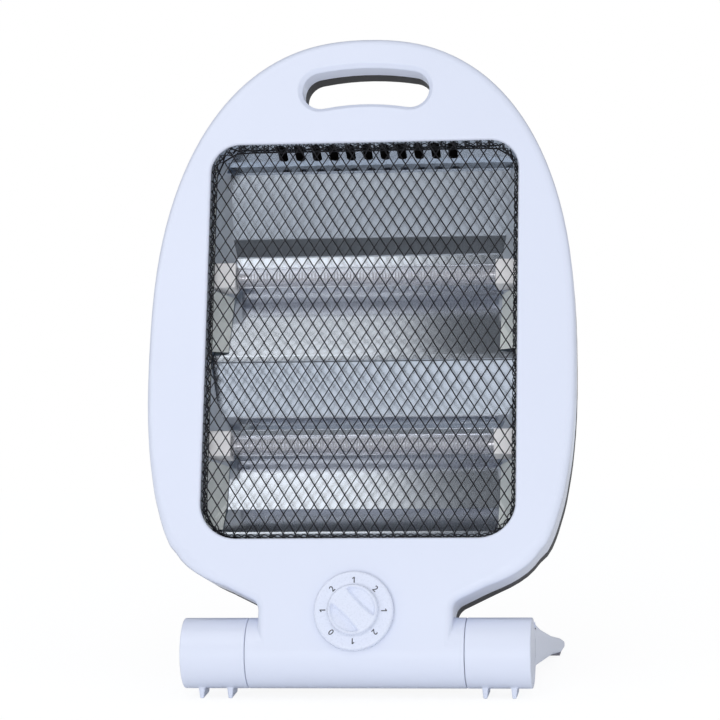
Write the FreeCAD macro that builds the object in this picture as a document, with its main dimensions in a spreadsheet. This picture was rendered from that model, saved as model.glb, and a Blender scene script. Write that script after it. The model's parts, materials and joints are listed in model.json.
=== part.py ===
import FreeCAD, Part
import math
import os
import re
import Sketcher
from FreeCAD import Placement, Rotation, Vector

# Compact infrared heater: an egg-shaped housing that leans back on a round base barrel,
# two quartz tubes before a folded reflector, a diamond wire guard, a rotary knob, and two
# feet that turn on the ends of the barrel.
#
# Body pieces are drawn upright. X runs to the right, Y runs from the front face to the back
# and Z runs up the face. Their zero point is the middle of the barrel axis. The pieces are
# then leaned back about that axis and set at their height above the floor.

doc = FreeCAD.newDocument("infrared_heater")
sheet = doc.addObject("Spreadsheet::Sheet", "sizes")

# Driving dimensions, lengths in millimetres and angles in degrees
DRIVING = {
    # Stance
    "lean_angle": 20,
    "axis_height": 24.5,
    # Egg-shaped outline, heights measured from the barrel axis
    "body_width": 248,
    "body_top": 362,
    "widest_height": 170,
    "oval_foot": 24,
    "upper_power": 2.33,
    "lower_power": 3,
    "neck_width": 111,
    "neck_top": 25,
    "neck_corner": 7,
    "side_draft": 1.8,
    "face_round": 4.5,
    # Depths behind the front face, low at the neck and high at the handle
    "low_level": 25,
    "high_level": 345,
    "split_low": 31,
    "split_high": 15.5,
    "back_low": 51,
    "back_high": 27,
    "back_chamfer": 3.6,
    "heel_drop": 26,
    "front_wall": 2.2,
    "rear_wall": 2,
    # Raised middle of the rear cover
    "hump_border": 24,
    "hump_bottom": 56,
    "hump_top": 310,
    "hump_corner": 36,
    "hump_depth": 46,
    "hump_draft": 6,
    # Base barrel and its turning ends
    "barrel_radius": 20,
    "barrel_length": 124.4,
    "barrel_wall": 2.3,
    # Guard window
    "window_border": 33.6,
    "window_bottom": 62.8,
    "window_top": 297.8,
    "window_top_corner": 17,
    "window_bottom_corner": 21,
    "window_lip": 1,
    # Handle slot
    "slot_width": 75,
    "slot_bottom": 321.8,
    "slot_top": 344,
    "slot_bend": 148,
    "slot_wall": 2,
    "slot_lip": 2.6,
    # Screw bosses
    "boss_radius": 4.5,
    "low_boss_border": 52.75,
    "pilot_radius": 1.4,
    "screw_radius": 1.35,
    "screw_hole": 1.9,
    "screw_head_radius": 3,
    "screw_head_height": 2.2,
    "screw_head_hole": 3.5,
    "screw_seat_depth": 5,
    "screw_bite": 8,
    # Rear vents
    "vent_width": 62,
    "vent_height": 3.4,
    "vent_pitch": 8.5,
    "vent_gap": 14,
    "upper_vent_rows": 6,
    "lower_vent_rows": 5,
    # Reflector
    "sheet_thickness": 0.5,
    "reflector_lip": 6,
    "tray_depth": 13,
    "tray_gap": 0.2,
    "tray_fold_depth": 24,
    "tray_fold_step": 3.6,
    "tray_back_depth": 34,
    "tray_back_step": 11.6,
    "tray_flange": 3.4,
    "air_hole_width": 5.4,
    "air_hole_length": 16,
    "air_hole_pitch": 10.1,
    # Quartz tubes and their ceramic ends
    "tube_depth": 22,
    "upper_tube_level": 222.3,
    "lower_tube_level": 121.4,
    "quartz_radius": 6,
    "quartz_bore": 5,
    "quartz_seat": 6,
    "coil_radius": 3,
    "lead_radius": 1,
    "ceramic_size": 15,
    "ceramic_length": 17,
    "ceramic_reach": 14.1,
    "ceramic_tail": 3,
    "tab_width": 6.3,
    "tab_thickness": 0.8,
    "tab_length": 9,
    # Wire guard
    "wire_size": 0.75,
    "wire_pitch": 7,
    "wire_slope": 58,
    "layer_step": 0.85,
    "wall_step": 1.1,
    "guard_front": 0.4,
    "guard_gap": 0.6,
    "guard_drop": 4.5,
    "guard_back": 13.1,
    "guard_rim_size": 1.1,
    "guard_top_slant": 3.6,
    "guard_foot_slant": 2.4,
    "guard_side_slant": 0.8,
    # Control knob and rotary switch
    "knob_level": 20.4,
    "knob_radius": 22.6,
    "knob_base": 3.6,
    "knob_gap": 0.8,
    "knob_rim_chamfer": 0.9,
    "grip_radius": 14.4,
    "grip_height": 4.6,
    "grip_scoop": 3,
    "grip_wall": 1.3,
    "grip_bar": 10,
    "grip_angle": 45,
    "shaft_radius": 3,
    "shaft_clearance": 0.06,
    "shaft_in_knob": 5.4,
    "switch_width": 31,
    "switch_height": 25,
    "switch_depth": 16,
    "bush_radius": 5,
    "bush_length": 2.4,
    # Feet
    "foot_gap": 0.3,
    "foot_length": 37,
    "spigot_radius": 12,
    "spigot_bore": 9,
    "turning_gap": 0.05,
    "spigot_flange": 5,
    "flange_clearance": 0.1,
    "foot_shoulder": 4.6,
    "foot_recess_radius": 15.6,
    "cap_radius": 17.4,
    "cap_thickness": 1.8,
    "cap_clearance": 0.05,
    "washer_radius": 14.6,
    "washer_thickness": 1.2,
    "washer_gap": 0.1,
    "plug_length": 8,
    "bolt_radius": 2,
    "bolt_head_radius": 3.6,
    "bolt_head_height": 1.4,
    "rib_spacing": 16.4,
    "rib_middle": 81,
    "rib_top_width": 4,
    "rib_tip_width": 2.2,
    "rib_length": 18,
    "leg_reach": 130,
    "leg_outer": 99.2,
    "leg_splay": 9,
    "leg_width": 13,
    "leg_root_height": 27,
    "leg_tip_height": 5,
    "leg_chamfer": 1.2,
    "shoe_thickness": 1.5,
    "shoe_length": 14,
    "shoe_inset": 1.2,
    # Inner parts
    "cutout_radius": 7,
    "cutout_height": 6,
    "cutout_offset": 34,
    "block_width": 26,
    "block_height": 16,
    "block_depth": 14,
    "inner_offset": 36,
    "inner_level": 40,
    "tilt_width": 20,
    "tilt_height": 18,
    "gland_radius": 7.5,
    "gland_neck": 5.5,
    "gland_hole": 6.1,
    "gland_bore": 3.4,
    "gland_head": 3,
    "gland_nut": 3,
    "gland_offset": 32,
    "gland_level": 40,
    # Overrun of cuts
    "overrun": 5,
}

for row, (name, value) in enumerate(DRIVING.items(), 1):
    sheet.set(f"A{row}", name)
    sheet.set(f"B{row}", str(value))
    sheet.setAlias(f"B{row}", name)
doc.recompute()


def size(name):
    """Value of one driving dimension."""
    return float(getattr(sheet, name))


def tied(text):
    """Expression in which each word names a cell of the sheet."""
    return re.sub(r"[a-z_]+", lambda word: "sizes." + word.group(), text)


# Sketch and feature helpers for the machined and moulded bodies

def start_body(name):
    body = doc.addObject("PartDesign::Body", name)
    body.Label = name
    return body


def sketch_on(body, role, away):
    """Sketch on one of the body's own planes, moved along the plane's normal."""
    sketch = body.newObject("Sketcher::SketchObject", body.Name + "_sketch")
    plane = next(item for item in body.Origin.OriginFeatures if item.Role == role)
    sketch.AttachmentSupport = [(plane, "")]
    sketch.MapMode = "FlatFace"
    sketch.setExpression("AttachmentOffset.Base.z", tied(away))
    return sketch


def hold_size(sketch, constraint, text):
    index = sketch.addConstraint(constraint)
    sketch.setExpression(f"Constraints[{index}]", tied(text))


def draw_circle(sketch, radius):
    ring = sketch.addGeometry(Part.Circle(Vector(0, 0, 0), Vector(0, 0, 1), 1), False)
    sketch.addConstraint(Sketcher.Constraint("Coincident", ring, 3, -1, 1))
    hold_size(sketch, Sketcher.Constraint("Radius", ring, 1), radius)


def draw_rectangle(sketch, width, height):
    corners = [Vector(-1, -1, 0), Vector(1, -1, 0), Vector(1, 1, 0), Vector(-1, 1, 0)]
    bottom, right, top, left = [
        sketch.addGeometry(Part.LineSegment(corners[i], corners[(i + 1) % 4]), False)
        for i in range(4)
    ]
    for one, two in ((bottom, right), (right, top), (top, left), (left, bottom)):
        sketch.addConstraint(Sketcher.Constraint("Coincident", one, 2, two, 1))
    for line in (bottom, top):
        sketch.addConstraint(Sketcher.Constraint("Horizontal", line))
    for line in (right, left):
        sketch.addConstraint(Sketcher.Constraint("Vertical", line))
    sketch.addConstraint(Sketcher.Constraint("Symmetric", bottom, 1, top, 1, -1, 1))
    hold_size(sketch, Sketcher.Constraint("DistanceX", bottom, 1, bottom, 2, 2), width)
    hold_size(sketch, Sketcher.Constraint("DistanceY", right, 1, right, 2, 2), height)


def pad(body, sketch, length):
    feature = body.newObject("PartDesign::Pad", body.Name + "_pad")
    feature.Profile = sketch
    feature.setExpression("Length", tied(length))
    return feature


def pocket(body, sketch, length):
    """Cut on the side that the sketch's normal points to."""
    feature = body.newObject("PartDesign::Pocket", body.Name + "_pocket")
    feature.Profile = sketch
    feature.Reversed = True
    feature.setExpression("Length", tied(length))
    return feature


def add_disc(body, role, radius, start, length):
    sketch = sketch_on(body, role, start)
    draw_circle(sketch, radius)
    return pad(body, sketch, length)


def bore(body, role, radius, start, length):
    sketch = sketch_on(body, role, start)
    draw_circle(sketch, radius)
    return pocket(body, sketch, length)


def add_block(body, role, width, height, start, length):
    sketch = sketch_on(body, role, start)
    draw_rectangle(sketch, width, height)
    return pad(body, sketch, length)


def chamfer_edges(body, width, wanted):
    """Chamfer the edges of the body's last feature for which wanted(edge) holds."""
    doc.recompute()
    last = body.Tip
    names = [f"Edge{i}" for i, edge in enumerate(last.Shape.Edges, 1) if wanted(edge)]
    feature = body.newObject("PartDesign::Chamfer", body.Name + "_chamfer")
    feature.Base = (last, names)
    feature.setExpression("Size", tied(width))
    return feature


# Helpers for shapes made by Part's own functions

def feature_of(name, shape):
    item = doc.addObject("Part::Feature", name)
    item.Label = name
    item.Shape = shape
    return item


def closed_prism(points, direction):
    """Solid from a flat polygon, pushed along a vector."""
    return Part.Face(Part.makePolygon(points + points[:1])).extrude(direction)


def fused(shapes):
    whole = shapes[0].multiFuse(shapes[1:])
    return whole.removeSplitter()


FACE = -size("barrel_radius")
WINDOW_HALF = size("body_width") / 2 - size("window_border")
TRAY_HALF = WINDOW_HALF + size("tray_gap")
CERAMIC_INNER = TRAY_HALF - size("ceramic_reach")
CERAMIC_INNER_TEXT = "(body_width / 2 - window_border + tray_gap - ceramic_reach)"


def at_depth(depth):
    """Y of a place that lies a given depth behind the front face."""
    return FACE + depth


def cross_rod(radius, half_length):
    """Cylinder along the barrel axis, even to both sides."""
    return Part.makeCylinder(radius, 2 * half_length, Vector(-half_length, 0, 0), Vector(1, 0, 0))


def depth_rod(radius, x, z, start, end):
    """Cylinder square to the face, from one depth to another."""
    return Part.makeCylinder(radius, end - start, Vector(x, at_depth(start), z), Vector(0, 1, 0))


# Outline of the housing: two half ovals of a softened kind that run into a narrow neck

OVAL_STEPS = 6
OVAL_END_SHARE = 0.69


def quarter_oval(half, rise, power, turn):
    """Place on a softened quarter oval: out from the middle line and up from its widest level."""
    return half * math.cos(turn) ** (2 / power), rise * math.sin(turn) ** (2 / power)


def mirrored_edge(edge):
    return edge.mirror(Vector(0, 0, 0), Vector(1, 0, 0))


def outline_wire(inset, depth):
    y = at_depth(depth)
    half = size("body_width") / 2 - inset
    middle = size("widest_height")
    over = size("body_top") - middle - inset
    under = middle - size("oval_foot") - inset
    right = []
    for step in range(OVAL_STEPS, 0, -1):
        out, up = quarter_oval(half, over, size("upper_power"), math.pi / 2 * step / OVAL_STEPS)
        right.append(Vector(out, y, middle + up))
    for step in range(OVAL_STEPS + 1):
        turn = math.pi / 2 * OVAL_END_SHARE * step / OVAL_STEPS
        out, down = quarter_oval(half, under, size("lower_power"), turn)
        right.append(Vector(out, y, middle - down))
    right[0].x = 0
    left = [Vector(-point.x, y, point.z) for point in reversed(right[1:])]
    oval = Part.BSplineCurve()
    oval.interpolate(left + right)
    oval_edge = oval.toShape()
    end = right[-1]
    slope = oval_edge.tangentAt(oval_edge.LastParameter)
    neck = size("neck_width") / 2 - inset
    corner = Vector(neck, y, end.z + slope.z / slope.x * (neck - end.x))
    radius = size("neck_corner") + inset
    turn = math.acos(abs(slope.z))
    tangent = radius * math.tan(turn / 2)
    arc_start = corner - slope * tangent
    arc_end = corner - Vector(0, 0, tangent)
    inside = (arc_start + arc_end) / 2 - corner
    centre = Vector(neck + radius, y, arc_end.z)
    arc_middle = centre - inside.normalize() * radius
    foot_corner = Vector(neck, y, 0)
    neck_edges = [
        Part.makeLine(end, arc_start),
        Part.Arc(arc_start, arc_middle, arc_end).toShape(),
        Part.makeLine(arc_end, foot_corner),
    ]
    base = Part.makeLine(foot_corner, Vector(-neck, y, 0))
    edges = [oval_edge] + neck_edges + [base] + [mirrored_edge(edge) for edge in reversed(neck_edges)]
    return Part.Wire(edges)


FULL_DEPTH = size("back_low") + size("overrun")


# Rounding of the front edge: narrow bands, each given by its share of the rounding's radius

ROUND_INSET_SHARES = (1, 0.5, 0.134, 0)
ROUND_DEPTH_SHARES = (0, 0.134, 0.5, 1)


def housing_block(wall, start, rounding=0):
    """Drafted block inside the outline, a wall thickness in from the outside."""
    steps = zip(ROUND_INSET_SHARES, ROUND_DEPTH_SHARES) if rounding else [(0, 0)]
    wires = [outline_wire(wall + inset * rounding, start + depth * rounding) for inset, depth in steps]
    wires.append(outline_wire(wall + size("side_draft"), FULL_DEPTH))
    return Part.makeLoft(wires, True, True)


def line_depth(low, high, z):
    """Depth of a slanted plane at a height up the face."""
    climb = (z - size("low_level")) / (size("high_level") - size("low_level"))
    return size(low) + (size(high) - size(low)) * climb


REACH = size("body_width")
TALL = size("body_top") + size("overrun")


def before_split():
    """Everything in front of the parting plane of the two shells."""
    deep_foot = line_depth("split_low", "split_high", -size("barrel_radius") - size("overrun"))
    points = [
        Vector(-REACH, at_depth(-size("overrun")), -size("barrel_radius") - size("overrun")),
        Vector(-REACH, at_depth(deep_foot), -size("barrel_radius") - size("overrun")),
        Vector(-REACH, at_depth(line_depth("split_low", "split_high", TALL)), TALL),
        Vector(-REACH, at_depth(-size("overrun")), TALL),
    ]
    return closed_prism(points, Vector(2 * REACH, 0, 0))


def before_back(wall):
    """Everything in front of the rear cover's slanted back, a wall thickness further in."""
    floor = -size("barrel_radius") - size("overrun")
    points = [
        Vector(-REACH, at_depth(-size("overrun")), floor),
        Vector(-REACH, at_depth(line_depth("back_low", "back_high", floor) - wall), floor),
        Vector(-REACH, at_depth(line_depth("back_low", "back_high", TALL) - wall), TALL),
        Vector(-REACH, at_depth(-size("overrun")), TALL),
    ]
    return closed_prism(points, Vector(2 * REACH, 0, 0))


def before_heel(wall):
    """Everything but the wedge between the back and the barrel, a wall thickness further in."""
    floor = -size("barrel_radius") - size("overrun")
    barrel_back = size("barrel_radius") - wall
    heel = size("heel_drop")
    heel_back = at_depth(line_depth("back_low", "back_high", heel) - wall)
    points = [
        Vector(-REACH, at_depth(-size("overrun")), floor),
        Vector(-REACH, barrel_back, floor),
        Vector(-REACH, barrel_back, 0),
        Vector(-REACH, heel_back, heel),
        Vector(-REACH, heel_back + REACH, heel),
        Vector(-REACH, heel_back + REACH, TALL),
        Vector(-REACH, at_depth(-size("overrun")), TALL),
    ]
    return closed_prism(points, Vector(2 * REACH, 0, 0))


def rounded_window(half, bottom, top, low_corner, high_corner, depth):
    """Upright rectangle with round corners, closed wire at one depth."""
    y = at_depth(depth)
    bend = 1 - math.sqrt(0.5)
    corners = [
        (half, bottom, -1, 1, low_corner),
        (half, top, -1, -1, high_corner),
        (-half, top, 1, -1, high_corner),
        (-half, bottom, 1, 1, low_corner),
    ]
    arcs = []
    for index, (x, z, inward, upward, radius) in enumerate(corners):
        along = Vector(x + inward * radius, y, z)
        beside = Vector(x, y, z + upward * radius)
        middle = Vector(x + inward * bend * radius, y, z + upward * bend * radius)
        ends = (along, beside) if index % 2 == 0 else (beside, along)
        arcs.append(Part.Arc(ends[0], middle, ends[1]))
    edges = []
    for index, arc in enumerate(arcs):
        following = arcs[(index + 1) % 4]
        edges.append(arc.toShape())
        edges.append(Part.makeLine(arc.EndPoint, following.StartPoint))
    return Part.Wire(edges)


def slot_wire(grow, depth):
    """Handle slot: a band bent round a far centre below it, with round ends."""
    y = at_depth(depth)
    half = (size("slot_top") - size("slot_bottom")) / 2
    bend = size("slot_bend")
    centre_z = size("slot_top") - half - bend
    swing = math.asin((size("slot_width") / 2 - half) / bend)

    def place(radius, angle):
        return Vector(radius * math.sin(angle), y, centre_z + radius * math.cos(angle))

    outer = bend + half + grow
    inner = bend - half - grow
    tip = Vector(math.cos(swing), 0, -math.sin(swing)) * (half + grow)
    right_tip = place(bend, swing) + tip
    left_tip = Vector(-right_tip.x, y, right_tip.z)
    edges = [
        Part.Arc(place(outer, -swing), place(outer, 0), place(outer, swing)).toShape(),
        Part.Arc(place(outer, swing), right_tip, place(inner, swing)).toShape(),
        Part.Arc(place(inner, swing), place(inner, 0), place(inner, -swing)).toShape(),
        Part.Arc(place(inner, -swing), left_tip, place(outer, -swing)).toShape(),
    ]
    return Part.Wire(edges)


def wire_prism(wire, length):
    return Part.Face(wire).extrude(Vector(0, length, 0))


def on_face(edge, x_reach, z_low, z_high):
    """True for an edge in the front face whose box lies within the given reach."""
    box = edge.BoundBox
    flat = abs(box.YMin - FACE) < size("sheet_thickness") and box.YLength < size("sheet_thickness")
    return flat and abs(box.Center.x) <= x_reach and box.ZMin > z_low and box.ZMax < z_high


# Screw bosses: two at the handle, two at mid height and two above the neck

BOSS_SPOTS = [
    (size("slot_width") / 2 + 4 * size("boss_radius"), size("slot_bottom")),
    (size("body_width") / 2 - 3.5 * size("boss_radius"), size("widest_height")),
    (size("body_width") / 2 - size("low_boss_border"), size("neck_top") + 5 * size("boss_radius")),
]
BOSSES = [(side * x, z) for x, z in BOSS_SPOTS for side in (1, -1)]


def front_shell():
    split = before_split()
    block = housing_block(0, 0, size("face_round"))
    barrel = cross_rod(size("barrel_radius"), size("barrel_length") / 2)
    outside = fused([block, barrel]).common(split)
    cavity = housing_block(size("front_wall"), size("front_wall"))
    channel = cross_rod(size("barrel_radius") - size("barrel_wall"), size("barrel_length"))
    shell = outside.cut(cavity).cut(channel)
    sleeve = wire_prism(slot_wire(size("slot_wall"), 0), FULL_DEPTH).common(outside)
    bosses = [depth_rod(size("boss_radius"), x, z, size("front_wall"), FULL_DEPTH).common(split)
              for x, z in BOSSES]
    shell = fused([shell, sleeve] + bosses)
    start = -size("overrun")
    window = wire_prism(
        rounded_window(WINDOW_HALF, size("window_bottom"), size("window_top"),
                       size("window_bottom_corner"), size("window_top_corner"), start),
        2 * size("overrun"))
    slot = wire_prism(slot_wire(0, start), FULL_DEPTH + size("overrun"))
    holes = [window, slot, depth_rod(size("bush_radius"), 0, size("knob_level"), start, FULL_DEPTH)]
    for x, z in BOSSES:
        holes.append(depth_rod(size("pilot_radius"), x, z, 2 * size("front_wall"), FULL_DEPTH))
    shell = shell.cut(holes)
    lip = [edge for edge in shell.Edges
           if on_face(edge, WINDOW_HALF + size("window_lip"), size("window_bottom") - size("window_lip"),
                      size("window_top") + size("window_lip"))]
    shell = shell.makeChamfer(size("window_lip"), lip)
    lip = [edge for edge in shell.Edges
           if on_face(edge, size("slot_width"), size("window_top") + size("window_lip"),
                      size("slot_top") + size("window_lip"))]
    return shell.makeChamfer(size("slot_lip"), lip)


def hump_block(wall):
    """Raised middle of the rear cover, drafted towards its back."""
    half = size("body_width") / 2 - size("hump_border") - wall
    low = size("hump_bottom") + wall
    high = size("hump_top") - wall
    corner = size("hump_corner") - wall
    draft = size("hump_draft")
    start = size("split_high")
    base = rounded_window(half, low, high, corner, corner, start)
    back = rounded_window(half - draft, low + draft, high - draft, corner - draft, corner - draft,
                          size("hump_depth") - wall)
    return Part.makeLoft([base, back], True, True)


def rear_vents():
    """Two columns of louvre slots, in a high group and a low group."""
    slots = []
    width = size("vent_width")
    height = size("vent_height")
    column = size("vent_gap") / 2
    start = at_depth(size("hump_depth") - 2 * size("rear_wall"))
    for group in ("upper", "lower"):
        count = int(size(group + "_vent_rows"))
        for number in range(count):
            z = size(group + "_tube_level") + (number - (count - 1) / 2) * size("vent_pitch")
            for x in (column, -column - width):
                corner = Vector(x, start, z - height / 2)
                slots.append(Part.makeBox(width, size("overrun") + 2 * size("rear_wall"), height, corner))
    return slots


def rear_cover():
    split = before_split()
    block = housing_block(0, 0).common(before_back(0))
    rim = [
        edge for edge in block.Edges
        if edge.BoundBox.ZMax > size("overrun")
        and edge.BoundBox.YMin > at_depth(size("back_high") - size("overrun"))
    ]
    block = block.makeChamfer(size("back_chamfer"), rim).common(before_heel(0))
    barrel = cross_rod(size("barrel_radius"), size("barrel_length") / 2)
    outside = fused([block, hump_block(0), barrel]).cut(split)
    wall = size("rear_wall")
    inner_block = housing_block(wall, 0).common(before_back(wall)).common(before_heel(wall))
    channel = cross_rod(size("barrel_radius") - size("barrel_wall"), size("barrel_length"))
    shell = outside.cut(inner_block).cut(hump_block(wall)).cut(channel)
    sleeve = wire_prism(slot_wire(size("slot_wall"), 0), FULL_DEPTH).common(outside)
    bosses = [depth_rod(size("boss_radius"), x, z, 0, FULL_DEPTH).common(outside) for x, z in BOSSES]
    shell = fused([shell, sleeve] + bosses)
    cuts = rear_vents()
    cuts.append(wire_prism(slot_wire(0, -size("overrun")), FULL_DEPTH + 2 * size("overrun")))
    for x, z in BOSSES:
        seat = line_depth("back_low", "back_high", z) - size("screw_seat_depth")
        cuts.append(depth_rod(size("screw_hole"), x, z, 0, FULL_DEPTH))
        cuts.append(depth_rod(size("screw_head_hole"), x, z, seat, FULL_DEPTH))
    cuts.append(depth_rod(size("gland_hole"), -size("gland_offset"), size("gland_level"), size("split_low"),
                          FULL_DEPTH))
    return shell.cut(cuts)


# Folded sheet of the reflector, as places (height up the face, depth behind the face)

def reflector_profile():
    upper = size("upper_tube_level")
    lower = size("lower_tube_level")
    ridge = (upper + lower) / 2
    trough = size("tray_back_depth")
    ridge_depth = size("tray_depth") + size("wire_size") * 4
    tube = size("quartz_radius")
    lip = size("reflector_lip")
    return [
        (size("window_top") + lip, size("front_wall")),
        (size("window_top") + lip / 2, size("front_wall")),
        (size("window_top") - lip, size("tray_back_depth") - lip),
        (upper + 5 * tube, trough - lip / 2),
        (upper + 3 * tube, trough),
        (upper - tube, trough),
        (upper - 2 * tube, trough - lip / 3),
        (ridge + lip / 3, ridge_depth),
        (ridge - lip / 3, ridge_depth),
        (lower + 3 * tube, trough - lip),
        (lower + 2 * tube, trough),
        (lower - tube, trough),
        (lower - 2 * tube, trough - lip / 3),
        (lower - 5.4 * tube, trough - lip),
        (size("window_bottom") + lip, size("tray_depth") + lip / 3),
        (size("window_bottom") - lip / 2, size("tray_depth") + lip / 3),
    ]


def thick_strip(places, thickness):
    """Outline of a folded strip: the places, and the same line one thickness behind it."""
    behind = []
    for index, (z, depth) in enumerate(places):
        ahead = places[min(index + 1, len(places) - 1)]
        before = places[max(index - 1, 0)]
        normals = []
        for start, end in (((z, depth), ahead), (before, (z, depth))):
            run_z, run_d = end[0] - start[0], end[1] - start[1]
            length = math.hypot(run_z, run_d)
            if length > 0:
                normals.append((run_d / length, -run_z / length))
        sum_z = sum(normal[0] for normal in normals)
        sum_d = sum(normal[1] for normal in normals)
        scale = thickness * len(normals) / (sum_z * sum_z + sum_d * sum_d)
        behind.append((z + sum_z * scale, depth + sum_d * scale))
    return places + behind[::-1]


def tray_section(grow):
    """Half widths of the tray at its depths: open front, one fold, back."""
    half = TRAY_HALF + grow
    return [
        (half, 0),
        (half, size("tray_depth")),
        (half - size("tray_fold_step"), size("tray_fold_depth")),
        (half - size("tray_back_step"), size("tray_back_depth")),
        (half - size("tray_back_step"), FULL_DEPTH),
    ]


def tray_prism(grow):
    """Upright prism of the room between the two side plates."""
    right = [Vector(x, at_depth(depth), 0) for x, depth in tray_section(grow)]
    left = [Vector(-point.x, point.y, 0) for point in reversed(right)]
    return closed_prism(right + left, Vector(0, 0, TALL))


def reflector():
    outline = thick_strip(reflector_profile(), size("sheet_thickness"))
    points = [Vector(-REACH, at_depth(depth), z) for z, depth in outline]
    plate = closed_prism(points, Vector(2 * REACH, 0, 0)).common(tray_prism(0))
    top, fold = reflector_profile()[1:3]
    run = Vector(0, fold[1] - top[1], fold[0] - top[0])
    along = Vector(run).normalize()
    middle = Vector(0, at_depth(top[1]), top[0]) + run / 2
    upward = Vector(1, 0, 0).cross(along)
    half_width = size("air_hole_width") / 2
    half_length = size("air_hole_length") / 2
    holes = []
    for number in range(-5, 6):
        centre = middle + Vector(number * size("air_hole_pitch"), 0, 0) - upward * size("overrun")
        side = Vector(half_width, 0, 0)
        straight = along * (half_length - half_width)
        tip = along * half_length
        edges = [
            Part.makeLine(centre + side - straight, centre + side + straight),
            Part.Arc(centre + side + straight, centre + tip, centre - side + straight).toShape(),
            Part.makeLine(centre - side + straight, centre - side - straight),
            Part.Arc(centre - side - straight, centre - tip, centre + side - straight).toShape(),
        ]
        holes.append(Part.Face(Part.Wire(edges)).extrude(upward * (2 * size("overrun"))))
    return plate.cut(holes)


def reflector_side(side):
    """Slanted end plate of the tray, with a flange under the front shell."""
    thickness = size("sheet_thickness")
    inner = tray_section(0)[1:4]
    outer = tray_section(thickness)[1:4]
    flange = TRAY_HALF + size("tray_flange")
    places = inner + outer[::-1] + [(flange, size("tray_depth")), (flange, size("tray_depth") - thickness),
                                    (TRAY_HALF, size("tray_depth") - thickness)]
    points = [Vector(side * x, at_depth(depth), size("window_bottom")) for x, depth in places]
    plate = closed_prism(points, Vector(0, 0, size("window_top") - size("window_bottom")))
    block = size("ceramic_size") + thickness
    holes = []
    for level in (size("upper_tube_level"), size("lower_tube_level")):
        corner = Vector(side * TRAY_HALF - block, at_depth(size("tube_depth")) - block / 2,
                        level - block / 2)
        holes.append(Part.makeBox(2 * block, block, block, corner))
    return plate.cut(holes)


# Wire guard: two layers of slanted wires, folded back at the edges of the window

def guard_frame(shrink):
    """Half width, bottom, top and corner radii of one layer's front."""
    inset = size("guard_gap") + shrink
    half = WINDOW_HALF - inset
    bottom = size("window_bottom") + size("guard_drop") + shrink
    top = size("window_top") - inset
    return half, bottom, top, size("window_bottom_corner"), size("window_top_corner")


def edge_normal(frame, x, z):
    """Outward direction of the guard's edge at a place on it."""
    half, bottom, top, low_corner, high_corner = frame
    for radius, centre_z, beyond in ((high_corner, top - high_corner, 1), (low_corner, bottom + low_corner, -1)):
        across = abs(x) - (half - radius)
        up = (z - centre_z) * beyond
        if across > 0 and up > 0:
            return Vector(math.copysign(across, x), 0, up * beyond).normalize()
    if half - abs(x) < min(top - z, z - bottom):
        return Vector(math.copysign(1, x), 0, 0)
    return Vector(0, 0, 1 if top - z < z - bottom else -1)


WALL_RUN_SHARE = 0.35


def wall_end(frame, place, heading):
    """Back end of a wire: it folds over the edge and runs to the rim, partly sideways."""
    half, bottom, top, low_corner, high_corner = frame
    normal = edge_normal(frame, place.x, place.z)
    depth = at_depth(size("guard_back")) - place.y
    if normal.z > 0.5:
        slant = -size("guard_top_slant")
    elif normal.z < -0.5:
        slant = size("guard_foot_slant")
    else:
        slant = -size("guard_side_slant")
    sideways = Vector(0, 0, 0)
    if max(abs(normal.x), abs(normal.z)) > 1 - size("wire_size") / (2 * WINDOW_HALF):
        tangent = Vector(abs(normal.z), 0, abs(normal.x))
        slope = heading.dot(tangent) / max(heading.dot(normal), math.cos(math.radians(size("wire_slope"))))
        run = WALL_RUN_SHARE * depth * slope
        if abs(normal.x) > abs(normal.z):
            free = (top - high_corner - place.z) if run > 0 else (place.z - bottom - low_corner)
        else:
            corner = high_corner if normal.z > 0 else low_corner
            free = half - corner - math.copysign(place.x, place.x * run)
        sideways = tangent * math.copysign(min(abs(run), max(free, 0)), run)
    return place + sideways + normal * slant + Vector(0, depth, 0)


def square_wire(path):
    """Square wire along a bent path, its flats square to the plane of the first bend."""
    half = size("wire_size") / 2
    heading = (path[1] - path[0]).normalize()
    side = heading.cross(path[2] - path[1]).normalize() * half
    lift = heading.cross(side).normalize() * half
    start = path[0]
    corners = [start + side + lift, start - side + lift, start - side - lift, start + side - lift]
    profile = Part.makePolygon(corners + corners[:1])
    spine = Part.makePolygon(path)
    return Part.Wire(spine.Edges).makePipeShell([profile], True, False, 1)


def guard_layer(leaning, layer):
    """All wires of one direction; leaning is 1 for wires that climb to the right."""
    frame = guard_frame(layer * size("wall_step"))
    half, bottom, top, low_corner, high_corner = frame
    depth = size("guard_front") + layer * size("layer_step")
    face = Part.Face(rounded_window(half, bottom, top, low_corner, high_corner, depth))
    slope = math.tan(math.radians(size("wire_slope")))
    height = top - bottom
    run = height / slope
    heading = Vector(leaning * run, 0, height).normalize()
    count = int((2 * half + run) / size("wire_pitch"))
    first = -(count - 1) / 2
    wires = []
    for number in range(count):
        foot = (first + number) * size("wire_pitch") - leaning * run / 2
        low = Vector(foot, at_depth(depth), bottom)
        line = Part.makeLine(low, low + heading * math.hypot(run, height))
        pieces = face.common(line).Edges
        if not pieces or pieces[0].Length < size("wire_pitch"):
            continue
        ends = sorted((vertex.Point for vertex in pieces[0].Vertexes), key=lambda point: point.z)
        below, above = ends[0], ends[-1]
        path = [wall_end(frame, below, -heading), below, above, wall_end(frame, above, heading)]
        wires.append(square_wire(path))
    return Part.makeCompound(wires)


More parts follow.
